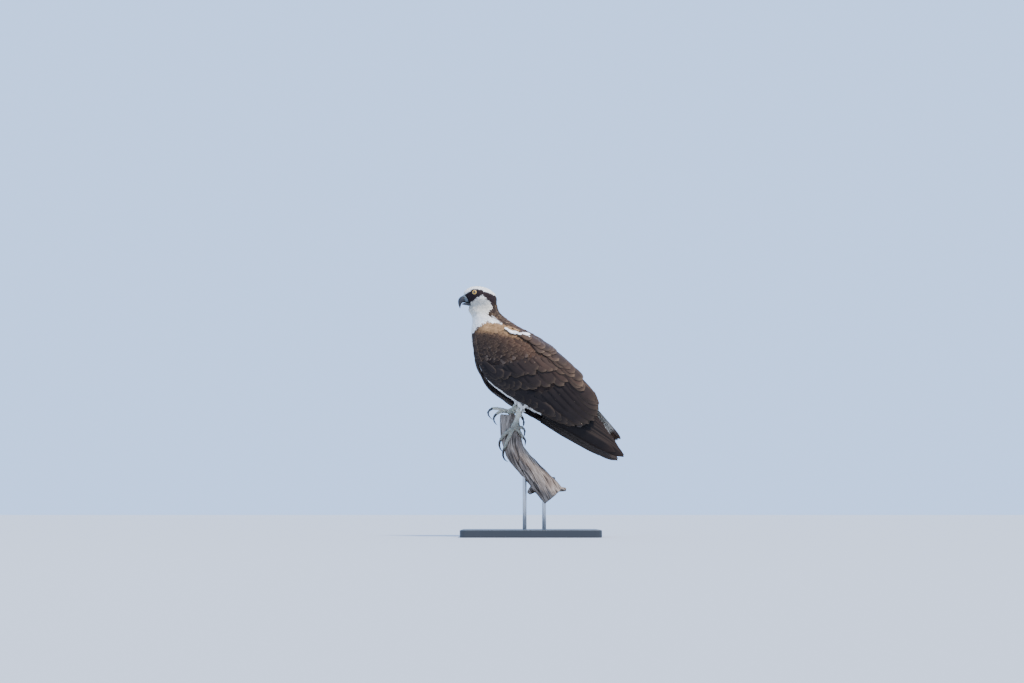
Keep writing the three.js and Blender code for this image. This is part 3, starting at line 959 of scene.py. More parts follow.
@dataclass
class FeatherBatch:
    """Many feathers as arrays, ready to become one mesh."""

    vane: Vane
    points: Array  # feathers x vertices x 3, in metres
    colours: Array  # the same, in linear light
    lengths: Array  # one for each, in metres
    halves: Array  # half widths, in metres
    bake_at: Array  # the root's place on the skin's map
    under: Array | None = None  # the underside's points, for feathers with two faces
    under_colours: Array | None = None

    def mesh(self, name: str) -> bpy.types.Mesh:
        """Joins the feathers into one mesh with its tint and maps.

        Args:
            name: the mesh's name.

        Returns:
            The mesh.
        """
        count, size = self.points.shape[:2]
        f, c, _ = self.vane.grid()
        quads = self.vane.quads()
        points, colours = self.points, self.colours
        if self.under is not None:
            points = np.concatenate([points, self.under], 1)
            colours = np.concatenate([colours, self.under_colours], 1)
            quads = np.concatenate([quads, quads[:, ::-1] + size, self.rim(size)])
            f, c = np.tile(f, 2), np.tile(c, 2)
        faces = (quads[None] + (np.arange(count) * len(f))[:, None, None]).reshape(-1, 4)
        mesh = bpy.data.meshes.new(name)
        mesh.vertices.add(count * len(f))
        mesh.vertices.foreach_set("co", points.astype(np.float32).ravel())
        mesh.loops.add(faces.size)
        mesh.loops.foreach_set("vertex_index", faces.astype(np.int32).ravel())
        mesh.polygons.add(len(faces))
        mesh.polygons.foreach_set("loop_start", np.arange(0, faces.size, 4, dtype=np.int32))
        mesh.update(calc_edges=True)
        mesh.validate()
        paint(mesh, colours.reshape(-1, 3))
        web = np.stack([np.outer(self.halves / MM, c), np.outer(self.lengths / MM, f)], -1).reshape(-1, 2)
        patch = self.bake_at[:, None, :] + BAKE_PATCH * np.stack([c / 2, f - 0.5], -1)[None]
        self.add_map(mesh, BAKE_MAP, patch.reshape(-1, 2)[faces.ravel()])
        self.add_map(mesh, VANE_MAP, web[faces.ravel()])
        return mesh

    def rim(self, size: int) -> Array:
        """The faces that close the edge between a feather's two sides.

        Args:
            size: how many vertices one side has.

        Returns:
            Rows of four vertex numbers.
        """
        rows, columns = self.vane.rows, self.vane.columns
        grid = np.arange(size).reshape(rows, columns)
        loop = np.concatenate([grid[0], grid[1:, -1], grid[-1, -2::-1], grid[-2:0:-1, 0]])
        ahead = np.roll(loop, -1)
        return np.stack([ahead, loop, loop + size, ahead + size], -1)

    @staticmethod
    def add_map(mesh: bpy.types.Mesh, name: str, places: Array) -> None:
        """Stores a map place for each face corner."""
        layer = mesh.uv_layers.new(name=name)
        layer.data.foreach_set("uv", places.astype(np.float32).ravel())


def fringed(colour: Array, fringe: Array, strength: Array, vane: Vane) -> Array:
    """Vertex colours of feathers with a paler fringe round the tip and a darker root.

    Args:
        colour: each feather's colour.
        fringe: each feather's edge colour.
        strength: how much the edge shows, for each feather.
        vane: the feathers' grid.

    Returns:
        Colours, feathers x vertices x 3.
    """
    f, c, _ = vane.grid()
    edge = np.clip(ramp(f, 0.82, 1.0) + 0.8 * ramp(np.abs(c), 0.7, 1.0) * ramp(f, 0.35, 0.8), 0, 1)
    share = strength[:, None] * edge[None]
    shaded = colour[:, None, :] * (0.82 + 0.18 * ramp(f, 0.1, 0.6))[None, :, None]
    return shaded * (1 - share[..., None]) + fringe[:, None, :] * share[..., None]


class Skin:
    """One skin for all the flesh, inside the solids by the coat's depth."""

    nodes = (
        "head", "neck", "trunk", "thigh_left", "thigh_right",
        "wing_left_coverts", "wing_left_secondaries", "wing_right_coverts", "wing_right_secondaries",
    )
    voxel = 2.3 * MM

    def __init__(self) -> None:
        """Shapes the skin, paints it and unwraps it."""
        mesh = remeshed(merged_nodes((*self.nodes, "eye_left", "eye_right")), self.voxel, 7)
        points, normals = points_of(mesh), normals_of(mesh)
        move_points(mesh, points - normals * self.depth(points)[:, None])
        paint(mesh, MARKINGS.tint(points, normals))
        mesh.name = "skin"
        self.piece = new_piece("skin", mesh, DownSkin().material(), *self.nodes)
        self.unwrap()
        corners = [tuple(face.vertices) for face in mesh.polygons]
        self.tree = BVHTree.FromPolygons([vertex.co for vertex in mesh.vertices], corners)
        self.map_of_faces = self.face_maps()

    @staticmethod
    def depth(points: Array) -> Array:
        """The coat's depth at each point.

        Args:
            points: places on the solids' surface.

        Returns:
            Metres for each.
        """
        on_wing, _, _ = WING.nearness(points)
        x, y, z = (HEAD.straight(points) / MM).T
        head = ramp(points[:, 2] / MM, 556, 580)
        body = 3.2 * (1 - head) + 1.5 * head
        side = np.abs(y) > FACE_SIDE
        brow = np.exp(-(((x + 144) / 9) ** 2) - ((z - 612.3 - 0.18 * (x + 144)) / 2.3) ** 2) * side
        off_eye = np.hypot(x - Eyes.centre[0], z - Eyes.centre[2])
        lid = np.exp(-(((off_eye - 8.0) / 3.2) ** 2)) * side
        eye = (1 - ramp(off_eye, 4.0, 6.6)) * side
        return (body * (1 - on_wing) + 2.0 * on_wing - 1.6 * brow - 1.2 * lid + 2.2 * eye) * MM

    def unwrap(self) -> None:
        """Unwraps the skin's own shape into the bake map."""
        bpy.ops.object.select_all(action="DESELECT")
        self.piece.select_set(True)
        bpy.context.view_layer.objects.active = self.piece
        self.piece.data.uv_layers.new(name=BAKE_MAP)
        bpy.ops.object.mode_set(mode="EDIT")
        bpy.ops.mesh.select_all(action="SELECT")
        bpy.ops.uv.smart_project(angle_limit=math.radians(70), island_margin=0.004)
        bpy.ops.object.mode_set(mode="OBJECT")
        self.piece.select_set(False)

    def face_maps(self) -> Array:
        """The middle of each face on the bake map.

        Returns:
            A map place for each face.
        """
        mesh = self.piece.data
        corners = read(mesh.uv_layers[BAKE_MAP].data, "uv", 2)
        starts = np.empty(len(mesh.polygons), dtype=np.int32)
        mesh.polygons.foreach_get("loop_start", starts)
        return corners[starts] * 0.5 + corners[starts + 2] * 0.5

    def nearest(self, points: Array) -> tuple[Array, Array, Array]:
        """The skin under each point.

        Args:
            points: rows in metres.

        Returns:
            The nearest places, their outward directions and their faces.
        """
        places, normals, faces, _ = zip(*(self.tree.find_nearest(point) for point in points))
        return np.array(places), np.array(normals), np.array(faces)

    def maps_at(self, points: Array) -> Array:
        """The bake map's place under each point."""
        return self.map_of_faces[self.nearest(points)[2]].astype(float)


class ContourCoat:
    """The small feathers of head, body and the wings' front, laid on the skin."""

    vane = Vane()
    forearm_reach = 43  # millimetres past the forearm that small feathers grow
    scapulars_from = 168  # millimetres along the wing where the scapulars cover all of it
    candidates = 2.2  # roots tried for each spacing squared
    crowding = 0.82  # share of the spacing that has to be free
    steepest = 0.38  # how far a feather bends to the skin, as a share of its length

    def __init__(self, skin: Skin, rng: np.random.Generator) -> None:
        """Spreads the feathers over the skin and builds them region by region.

        Args:
            skin: the skin.
            rng: the source of random draws.
        """
        self.skin = skin
        self.rng = rng
        roots, normals, faces = self.spread()
        material = Feathering().material()
        for name, chosen in self.regions(roots).items():
            batch = self.laid(roots[chosen], normals[chosen], faces[chosen])
            piece = new_piece(name, batch.mesh(name), material)

    def spread(self) -> tuple[Array, Array, Array]:
        """Picks roots over the skin at the coat's own spacing.

        Returns:
            The roots, the skin's outward directions and its faces there.
        """
        mesh = self.skin.piece.data
        centres = read(mesh.polygons, "center").astype(float)
        facing = read(mesh.polygons, "normal").astype(float)
        areas = read(mesh.polygons, "area", 1)[:, 0]
        _, spacing = FLOW.size(centres)
        wanted = areas / spacing**2 * self.candidates * self.open(centres, facing)
        picked = np.repeat(np.arange(len(areas)), self.rng.poisson(wanted))
        jitter = self.rng.normal(size=(len(picked), 3)) * np.sqrt(areas[picked])[:, None] * 0.45
        roots = centres[picked] + jitter
        roots, normals, faces = self.skin.nearest(roots)
        kept = self.thinned(roots, spacing[picked])
        return roots[kept], normals[kept], faces[kept]

    def open(self, points: Array, normals: Array) -> Array:
        """1 where small feathers grow, 0 at the eyes, the bill and under the long feathers.

        Args:
            points: places on the skin.
            normals: its outward directions there.

        Returns:
            0 or 1 for each.
        """
        x, y, z = (HEAD.straight(points) / MM).T
        near_eye = np.hypot(x - Eyes.centre[0], z - Eyes.centre[2]) < Eyes.bare_radius
        face = (np.abs(y) > FACE_SIDE) & near_eye
        bill = (x < -162) & (z < 599)
        on_wing, along, over = WING.nearness(points)
        from_ulna = WingFeathers.past_ulna(along, over)
        flight = (on_wing > 0.5) & ((from_ulna > self.forearm_reach) | (along > self.scapulars_from))
        inner = (np.abs(points[:, 1] / MM) > 40) & (normals[:, 1] * points[:, 1] < -0.02) & (along > 150)
        return (~(face | bill | flight | inner)).astype(float)

    def thinned(self, points: Array, spacing: Array) -> Array:
        """Drops roots that crowd an earlier one.

        Args:
            points: the candidates.
            spacing: the distance that each needs.

        Returns:
            The numbers of those kept.
        """
        tree = KDTree(len(points))
        for i, point in enumerate(points):
            tree.insert(point, i)
        tree.balance()
        free = np.ones(len(points), dtype=bool)
        kept = []
        for i in self.rng.permutation(len(points)):
            if not free[i]:
                continue
            kept.append(i)
            for _, other, _ in tree.find_range(points[i], spacing[i] * self.crowding):
                free[other] = False
        return np.array(kept)

    @staticmethod
    def regions(roots: Array) -> dict[str, Array]:
        """Which feathers go into which piece.

        Args:
            roots: the feathers' places on the skin.

        Returns:
            Each piece's name, with which feathers it has.
        """
        on_wing, _, _ = WING.nearness(roots)
        head = roots[:, 2] > HEAD_LOW
        wing = (on_wing > 0.5) & ~head
        left = roots[:, 1] < 0
        body = ~head & ~wing
        return {
            "coat_head": head,
            "coat_body_left": body & left,
            "coat_body_right": body & ~left,
            "coat_wing_left": wing & left,
            "coat_wing_right": wing & ~left,
        }

    def laid(self, roots: Array, normals: Array, faces: Array) -> FeatherBatch:
        """Lays feathers over the skin from their roots.

        Args:
            roots: places on the skin.
            normals: its outward directions there.
            faces: its faces there.

        Returns:
            The feathers.
        """
        rng, count = self.rng, len(roots)
        ways = FLOW.way(roots, normals)
        ways = unit(ways + 0.10 * rng.normal(size=ways.shape))
        length, _ = FLOW.size(roots)
        length = length * rng.uniform(0.88, 1.14, count)
        slim = ramp(roots[:, 2] / MM, 525, 575)
        half = length * rng.uniform(0.25, 0.31, count) * (1 - 0.36 * slim)
        aside = unit(np.cross(normals, ways))
        f, c, w = self.vane.grid()
        flat = (
            roots[:, None, :]
            + ways[:, None, :] * (length[:, None] * f)[..., None]
            + aside[:, None, :] * (half[:, None] * c * w)[..., None]
        )
        base = 0.35 * MM + 0.02 * length
        rise = (0.05 + 0.03 * rng.uniform(size=count)) * length
        height = base[:, None] + rise[:, None] * f**1.4 - 0.35 * half[:, None] * (c * w) ** 2
        height += (0.25 * MM * rng.normal(size=count))[:, None] * c
        places, outward, _ = self.skin.nearest(flat.reshape(-1, 3))
        own = np.repeat(normals, len(f), axis=0)
        outward = unit(outward + 0.6 * own)
        lift = np.sum((places - flat.reshape(-1, 3)) * outward, axis=1)
        limit = np.repeat(self.steepest * length, len(f))
        lift = np.clip(lift, -limit, limit) + height.ravel()
        points = (flat.reshape(-1, 3) + outward * lift[:, None]).reshape(count, len(f), 3)
        tips = roots + ways * (0.75 * length)[:, None]
        return FeatherBatch(
            vane=self.vane,
            points=points,
            colours=self.coloured(roots, tips, normals),
            lengths=length,
            halves=half,
            bake_at=self.skin.map_of_faces[faces].astype(float),
        )

    def coloured(self, roots: Array, tips: Array, normals: Array) -> Array:
        """Colours the small feathers, with paler fringes on the dark ones.

        Args:
            roots: places on the skin.
            tips: where the feathers show.
            normals: the skin's outward directions at the roots.

        Returns:
            Colours, feathers x vertices x 3.
        """
        rng, count = self.rng, len(roots)
        colour = MARKINGS.tint(tips, normals) * rng.uniform(0.84, 1.08, count)[:, None]
        dark = 1 - ramp(colour.mean(axis=1), 0.05, 0.3)
        nape = MARKINGS.nape(roots) * ramp(roots[:, 2] / MM, 520, 545) * (roots[:, 2] / MM < 596)
        fringe = mix(colour * 1.25, Palette.buff, 0.5 * dark + 0.3 * nape * dark)
        strength = 0.2 * dark + 0.2 * nape * dark * rng.uniform(0.3, 1.0, count)
        mask = (roots[:, 2] > HEAD_LOW) & (nape < 0.5)
        strength = np.where(mask, 0.05, strength)
        pale = (nape > 0.5) & (roots[:, 2] < 580 * MM) & (rng.uniform(size=count) < 0.14)
        strength = np.where(pale, 0.85, strength)
        return fringed(colour, np.minimum(fringe, 0.85), strength, self.vane)


@dataclass
class FeatherRow:
    """One row of the wing's long feathers, from its lowest one to its highest.

    Places are millimetres along and over the wing's line, and angles are degrees from that line.
    """

    name: str
    count: int
    roots: tuple[tuple[float, float], ...]
    length: tuple[float, float]
    half: tuple[float, float]
    angle: tuple[float, float]
    height: float
    rise: float = 1.6
    fringe: float = 0.4
    dark: float = 0.0
    rows: int = 10
    jitter: float = 1.5

    def spread(self, rng: np.random.Generator) -> tuple[Array, ...]:
        """Root places, lengths, half widths and angles of the row's feathers.

        Args:
            rng: the source of random draws.

        Returns:
            Places along and over the line, lengths, half widths and angles in radians.
        """
        share = np.linspace(0, 1, self.count)
        knots = np.array(self.roots, dtype=float)
        place = smooth_row(knots, share * (len(knots) - 1))
        wobble = rng.normal(size=(self.count, 2))
        length = np.interp(share, [0, 1], self.length) + self.jitter * wobble[:, 0]
        half = np.interp(share, [0, 1], self.half)
        angle = np.radians(np.interp(share, [0, 1], self.angle) + 0.5 * self.jitter * wobble[:, 1])
        shift = 0.5 * self.jitter * rng.normal(size=self.count)
        return place[:, 0] + shift, place[:, 1], length, half, angle


class WingFeathers:
    """The wing's rows of coverts, secondaries and scapulars, and its primaries."""

    ulna = ((-5.0, -10.0), (150.0, 92.0))
    rows = (
        FeatherRow("secondaries", 12, ((140, -36), (174, -28), (210, -8), (228, 28), (227, 62), (206, 82)),
                   (124, 128), (15, 16.5), (5, -8), -1.2, 1.6, 0.22, 0.85),
        FeatherRow("primary_coverts", 7, ((78, -44), (110, -50), (150, -43), (180, -38)),
                   (58, 66), (9, 11), (1, 4), -0.8, 1.4, 0.25, 0.6),
        FeatherRow("greater_coverts", 13, ((92, -42), (114, -24), (144, 12), (176, 52), (204, 86)),
                   (58, 64), (13, 14), (4, -6), -1.0, 1.9, 0.3, 0.6, jitter=3.5),
        FeatherRow("median_coverts", 15, ((68, -38), (88, -20), (114, 14), (144, 52), (174, 88)),
                   (44, 50), (11.5, 12.5), (3, -4), -0.5, 2.0, 0.3, 0.4, jitter=4.5),
        FeatherRow("marginal_coverts", 20, ((-11, 12), (5, -5), (26, -25), (50, -38), (78, -51), (112, -53)),
                   (20, 30), (5, 6.5), (-42, 4), -0.6, 1.3, 0.25, 0.45),
        FeatherRow("alula", 3, ((54, -30), (62, -35), (70, -40)),
                   (46, 54), (6, 6.5), (-4, -2), 0.4, 1.0, 0.2, 0.6),
        FeatherRow("scapulars_low", 10, ((120, 84), (160, 88), (205, 84), (240, 74)),
                   (50, 64), (11.5, 13), (-3, -9), 0.6, 2.4, 0.4, 0.5, jitter=7.0),
        FeatherRow("scapulars", 11, ((78, 84), (118, 93), (170, 95), (214, 89)),
                   (44, 58), (10.5, 13), (0, -8), 1.0, 2.6, 0.25, 0.5, jitter=7.0),
        # painted highlight: a short row of white feathers for a glint of sun on the scapulars
        FeatherRow("glint_scapulars", 8, ((42, 68), (56, 69), (70, 75), (86, 85)),
                   (15, 22), (3.2, 4.8), (2, 28), 1.4, 1.2, 0.0, 0.0, jitter=6.0),
    )
    vane_columns = 5
    width_places = (0.0, 0.25, 0.55, 0.75, 0.86, 0.94, 0.98, 1.0)
    width_shares = (0.6, 0.9, 1.0, 0.97, 0.86, 0.62, 0.38, 0.1)

    def __init__(self, skin: Skin, rng: np.random.Generator) -> None:
        """Builds each wing's rows.

        Args:
            skin: the skin.
            rng: the source of random draws.
        """
        self.skin = skin
        self.rng = rng
        material = Feathering("wing_vanes", 0.62).material()
        for side in Side:
            # the far wing leaves out the last row, the white painted highlight
            for row in self.rows[: None if side is Side.LEFT else -1]:
                batch = self.laid(side, row)
                name = f"{row.name}_{side.word}"
                piece = new_piece(name, batch.mesh(name), material)
            self.primaries(side, material)

    @classmethod
    def past_ulna(cls, along: Array, over: Array) -> Array:
        """Millimetres from the line of the forearm, towards the long feathers.

        Args:
            along: millimetres along the wing's line.
            over: millimetres over it.

        Returns:
            Millimetres for each.
        """
        (a, b), (c, d) = cls.ulna
        way = np.array([c - a, d - b])
        way = way / np.linalg.norm(way)
        return (along - a) * way[1] - (over - b) * way[0]

    def laid(self, side: Side, row: FeatherRow) -> FeatherBatch:
        """Lays one row over a wing's face.

        Args:
            side: which wing.
            row: the row's sizes.

        Returns:
            The feathers.
        """
        rng = self.rng
        along, over, length, half, angle = row.spread(rng)
        vane = Vane(row.rows, self.vane_columns, 0.03, self.width_places, self.width_shares)
        f, c, w = vane.grid()
        cos, sin = np.cos(angle)[:, None], np.sin(angle)[:, None]
        out = half[:, None] * c * w
        s = along[:, None] + length[:, None] * f * cos - out * sin
        t = over[:, None] + length[:, None] * f * sin + out * cos
        height = row.height + row.rise * f**1.5 - 0.75 * c * w - 0.5 * (c * w) ** 2
        height = np.broadcast_to(height, s.shape) + 0.15 * rng.normal(size=(row.count, 1))
        points = WING.on_face(side, s, t, height)
        middles = points[:, len(f) // 2]
        colour = MARKINGS.wing(along + 0.7 * length, over, middles)
        colour = mix(colour, Palette.dusk, np.full(row.count, row.dark))
        # painted highlight: this row is white for the sun's glint
        if row.name == "glint_scapulars":
            colour = np.broadcast_to(Palette.white, colour.shape)
        colour = colour * rng.uniform(0.86, 1.1, row.count)[:, None]
        fringe = np.broadcast_to(Palette.buff, colour.shape) * 0.7
        strength = row.fringe * rng.uniform(0.5, 1.0, row.count)
        strength = strength * np.interp(over, [-60, 0, 80], [0.4, 0.7, 1.0])
        colours = fringed(colour, fringe, strength, vane)
        low_colour = np.broadcast_to(0.45 * Palette.underwing, colour.shape)
        return FeatherBatch(
            vane=vane,
            points=points,
            colours=colours,
            lengths=length * MM,
            halves=half * MM,
            bake_at=self.skin.maps_at(points[:, 0]),
            under=WING.on_face(side, s, t, height - 0.4),
            under_colours=fringed(low_colour, fringe, 0.5 * strength, vane),
        )

    def primaries(self, side: Side, material: bpy.types.Material) -> None:
        """Builds a wing's long outer feathers, from the lowest one up.

        Args:
            side: which wing.
            material: the feathers' finish.
        """
        roots = np.array([[28, 302], [34, 315], [44, 330], [54, 344], [66, 358]], dtype=float)
        tips = np.array([[209, 206], [232, 194], [219, 215], [204, 233], [187, 256]], dtype=float)
        share = np.linspace(0, 4, 7)
        root, tip = smooth_row(roots, share), smooth_row(tips, share)
        tip[1] = tip[1] * 0.4 + tips[1] * 0.6
        reach = 0.95 if side is Side.RIGHT else 1.0
        tip = root + (tip - root) * reach
        way = tip - root
        length = np.linalg.norm(way, axis=1)
        way = way / length[:, None]
        vane = Vane(
            rows=18,
            columns=5,
            tip_round=0.02,
            width_places=(0.0, 0.3, 0.75, 0.88, 0.95, 1.0),
            width_shares=(0.7, 1.0, 0.95, 0.8, 0.55, 0.2),
        )
        f, c, w = vane.grid()
        half = np.full(len(root), 14.5)
        out = half[:, None] * c * w
        x = root[:, None, 0] + way[:, None, 0] * length[:, None] * f - way[:, None, 1] * out
        z = root[:, None, 1] + way[:, None, 1] * length[:, None] * f + way[:, None, 0] * out
        s, t = WING.across(x, z)
        depth = 6.9 + 0.85 * np.arange(len(root))[:, None]
        height = -depth - 0.35 * c - 0.3 * c**2
        points = WING.on_face(side, s, t, height)
        fringe = np.broadcast_to(Palette.brown, (len(root), 3))
        strength = np.full(len(root), 0.2)
        colour = np.broadcast_to(0.6 * Palette.dusk, fringe.shape)
        low_colour = np.broadcast_to(0.3 * Palette.underwing, fringe.shape)
        batch = FeatherBatch(
            vane=vane,
            points=points,
            colours=fringed(colour, fringe, strength, vane),
            lengths=length * MM,
            halves=half * MM,
            bake_at=self.skin.maps_at(points[:, 0]),
            under=WING.on_face(side, s, t, height - 0.7),
            under_colours=fringed(low_colour, fringe, strength, vane),
        )
        name = f"primaries_{side.word}"
        piece = new_piece(name, batch.mesh(name), material, f"wing_{side.word}_primaries")


@dataclass
class Tail:
    """Twelve tail feathers, closed to a narrow fan and rolled a little to the left."""

    root: tuple[float, float, float] = (86.0, 0.0, 405.0)
    length: float = 215.0
    slope: float = math.radians(50)
    roll: float = math.radians(14)
    arch: float = 3.5
    count: int = 12
    half: float = 12.0
    bars: int = 6

    def point(self, across: Array, down: Array, depth: Array) -> Array:
        """Points under the tail's upper face, by millimetres across and down it.

        Args:
            across: millimetres from the tail's middle line.
            down: millimetres from its root.
            depth: millimetres under its upper face.

        Returns:
            Places on the model.
        """
        along = np.array([math.cos(self.slope), 0, -math.sin(self.slope)])
        under = np.array([-math.sin(self.slope), 0, -math.cos(self.slope)])
        aside = np.array([0, 1, 0]) * math.cos(self.roll) + under * math.sin(self.roll)
        facing = under * math.cos(self.roll) - np.array([0, 1, 0]) * math.sin(self.roll)
        fall = depth + (across / 40) ** 2 * self.arch
        spread = along * down[..., None] + aside * across[..., None]
        return (np.array(self.root) + spread + facing * fall[..., None]) * MM

    def build(self, skin: Skin, rng: np.random.Generator) -> None:
        """Builds the tail's feathers, the middle pair on top.

        Args:
            skin: the skin that the roots' map places come from.
            rng: the random source.
        """
        out = (np.arange(self.count) - (self.count - 1) / 2) / ((self.count - 1) / 2)
        root_across = out * 14
        fan = np.radians(out * 2.7)
        length = self.length - 4 * np.abs(out) + rng.normal(size=self.count)
        vane = Vane(
            rows=30,
            columns=5,
            tip_round=0.03,
            width_places=(0.0, 0.4, 0.85, 0.94, 0.98, 1.0),
            width_shares=(0.6, 0.95, 1.0, 0.86, 0.62, 0.35),
        )
        f, c, w = vane.grid()
        down = length[:, None] * f * np.cos(fan)[:, None] - self.half * c * w * np.sin(fan)[:, None]
        across = (
            root_across[:, None]
            + length[:, None] * f * np.sin(fan)[:, None]
            + self.half * c * w * np.cos(fan)[:, None]
        )
        depth = 0.2 + 4.2 * np.abs(out)[:, None] - 0.6 * c * np.sign(out)[:, None]
        top = self.point(across, down, depth)
        low = self.point(across, down, depth + 0.6)
        batch = FeatherBatch(
            vane=vane,
            points=top,
            colours=self.barred(f, c, out, upper=True),
            lengths=length * MM,
            halves=np.full(self.count, self.half * MM),
            bake_at=skin.maps_at(top[:, 0]),
            under=low,
            under_colours=self.barred(f, c, out, upper=False),
        )
        finish = Feathering("tail_vanes", 0.6).material()
        piece = new_piece("tail_feathers", batch.mesh("tail_feathers"), finish, "tail")

    def barred(self, f: Array, c: Array, out: Array, upper: bool) -> Array:
        """Bars across the tail: dark on brown above, dusky on cream below.

        Args:
            f: shares along each feather.
            c: shares across it.
            out: each feather's place, from -1 to 1.
            upper: whether this is the upper face.

        Returns:
            Colours, feathers x vertices x 3.
        """
        wave = np.sin(2 * math.pi * (self.bars * f[None] + 0.12 * c[None] * np.sign(out)[:, None]))
        bar = ramp(wave, 0.1, 0.6) * (0.9 if upper else 0.2)
        bar = np.maximum(bar, ramp(f, 0.84, 0.9)[None])
        tip = ramp(f, 0.985, 1.0)[None] * np.ones_like(bar)
        middle = (1 - ramp(np.abs(out), 0.1, 0.3))[:, None]
        pale = Palette.cream * (0.4 if upper else 1.0)
        dark = Palette.umber if upper else Palette.brown * 0.9
        shape = (*bar.shape, 3)
        ground = mix(np.broadcast_to(pale, shape), Palette.brown, np.broadcast_to(middle * 0.9, bar.shape))
        outer_web = ramp(c[None] * np.sign(out)[:, None], 0.3, 0.6) * 0.6
        ground = mix(ground, Palette.umber, outer_web)
        colour = mix(ground, dark, bar)
        return mix(colour, Palette.cream, 0.4 * tip)


# Face


@dataclass
class Eyes:
    """The eyeballs with their irises, and the lids and brows round them, in head millimetres."""

    centre = (-142.0, 17.0, 603.5)
    bare_radius = 6.7
    radius: float = 8.3
    pupil: float = 2.7
    iris: float = 5.5
    lid_tube: float = 0.65
    facing: tuple[float, float, float] = (-0.30, 0.94, 0.10)

    def axis(self, side: Side) -> Vector:
        """The way an eye looks, on a head that looks straight ahead."""
        x, y, z = self.facing
        return Vector((x, side.value * y, z)).normalized()

    def middle(self, side: Side) -> Vector:
        """An eyeball's centre, on a head that looks straight ahead, in metres."""
        x, y, z = self.centre
        return Vector((x, side.value * y, z)) * MM

    def build(self) -> None:
        """Builds both eyes with their lids."""
        glossy = Tinted("moist_eye", 0.2, 0.6, 0.02).material()
        lid_skin = Tinted("eyelid_skin", 0.5, 0.1, 0.4).material()
        for side in Side:
            self.ball(side, glossy)
            self.lids(side, lid_skin)

    def ball(self, side: Side, material: bpy.types.Material) -> None:
        """Builds one eyeball with a raised cornea, coloured by distance from its axis.

        Args:
            side: which eye.
            material: its finish.
        """
        shape = bmesh.new()
        bmesh.ops.create_uvsphere(shape, u_segments=64, v_segments=48, radius=self.radius * MM)
        turn = Vector((0, 0, 1)).rotation_difference(self.axis(side))
        mesh = mesh_of(shape, f"eyeball_{side.word}")
        points = points_of(mesh)
        off = np.hypot(points[:, 0], points[:, 1]) / MM
        front = points[:, 2] > 0
        cornea = front * 0.5 * MM * (1 - ramp(off, 2.0, 6.2))
        points = points + unit(points) * cornea[:, None]
        colours = self.iris_colours(off, np.arctan2(points[:, 1], points[:, 0]), front)
        points = np.array([turn @ Vector(p) for p in points]) + np.array(self.middle(side))
        move_points(mesh, HEAD.placed(points))
        paint(mesh, colours)
        piece = new_piece(f"eyeball_{side.word}", mesh, material, f"eye_{side.word}")

    def iris_colours(self, off: Array, angle: Array, front: Array) -> Array:
        """Pupil, yellow-orange iris with fine rays, and the dark edge round it.

        Args:
            off: millimetres from the eye's axis.
            angle: radians round it.
            front: 1 on the half that faces out.

        Returns:
            A colour for each.
        """
        rays = 0.5 + 0.5 * np.sin(23 * angle) * np.sin(37 * angle + 1)
        yellow, amber, gold, black, edge = (
            np.array(linear(code)) for code in ("cf9f2a", "a46f10", "cfa53a", "050505", "1a1412")
        )
        iris = mix(mix(yellow, amber, rays), gold, ramp(off, 3.4, 5.0) * 0.7)
        colour = mix(black, iris, ramp(off, self.pupil - 0.1, self.pupil + 0.15))
        rim = ramp(off, self.iris - 0.5, self.iris + 0.1)
        return mix(colour, edge, np.maximum(rim, 1.0 - front))

    def lids(self, side: Side, material: bpy.types.Material) -> None:
        """Builds the bare rim round an eye: a soft ring, thicker and lower above as a brow.

        Args:
            side: which eye.
            material: the bare skin's finish.
        """
        ring = bmesh.new()
        bmesh.ops.create_circle(ring, segments=14, radius=self.lid_tube * MM, cap_ends=False)
        bmesh.ops.rotate(ring, verts=ring.verts, cent=(0, 0, 0), matrix=Matrix.Rotation(math.pi / 2, 3, "X"))
        bmesh.ops.translate(ring, verts=ring.verts, vec=(6.1 * MM, 0, 0))
        bmesh.ops.spin(
            ring,
            geom=ring.verts[:] + ring.edges[:],
            cent=(0, 0, 0),
            axis=(0, 0, 1),
            angle=2 * math.pi,
            steps=72,
            use_merge=True,
        )
        bmesh.ops.remove_doubles(ring, verts=ring.verts, dist=0.005 * MM)
        bmesh.ops.recalc_face_normals(ring, faces=ring.faces)
        mesh = mesh_of(ring, f"eyelids_{side.word}")
        points = points_of(mesh)
        axis = self.axis(side)
        upward = (Vector((0, 0, 1)) - axis * axis.z).normalized()
        ahead = axis.cross(upward)
        x, y, z = points.T
        height = math.sqrt(self.radius**2 - 6.0**2) * MM
        upper = ramp(y / MM, 1.0, 6.0)
        y = y - 0.9 * MM * upper
        z = z * (1 + 0.35 * upper) + height + 0.35 * MM * upper
        basis = np.array([ahead, upward, axis])
        points = np.stack([x, y, z], -1) @ basis + np.array(self.middle(side))
        move_points(mesh, HEAD.placed(points))
        paint(mesh, np.broadcast_to(Palette.slate * 0.3, (len(points), 3)))
        piece = new_piece(f"eyelids_{side.word}", mesh, material)


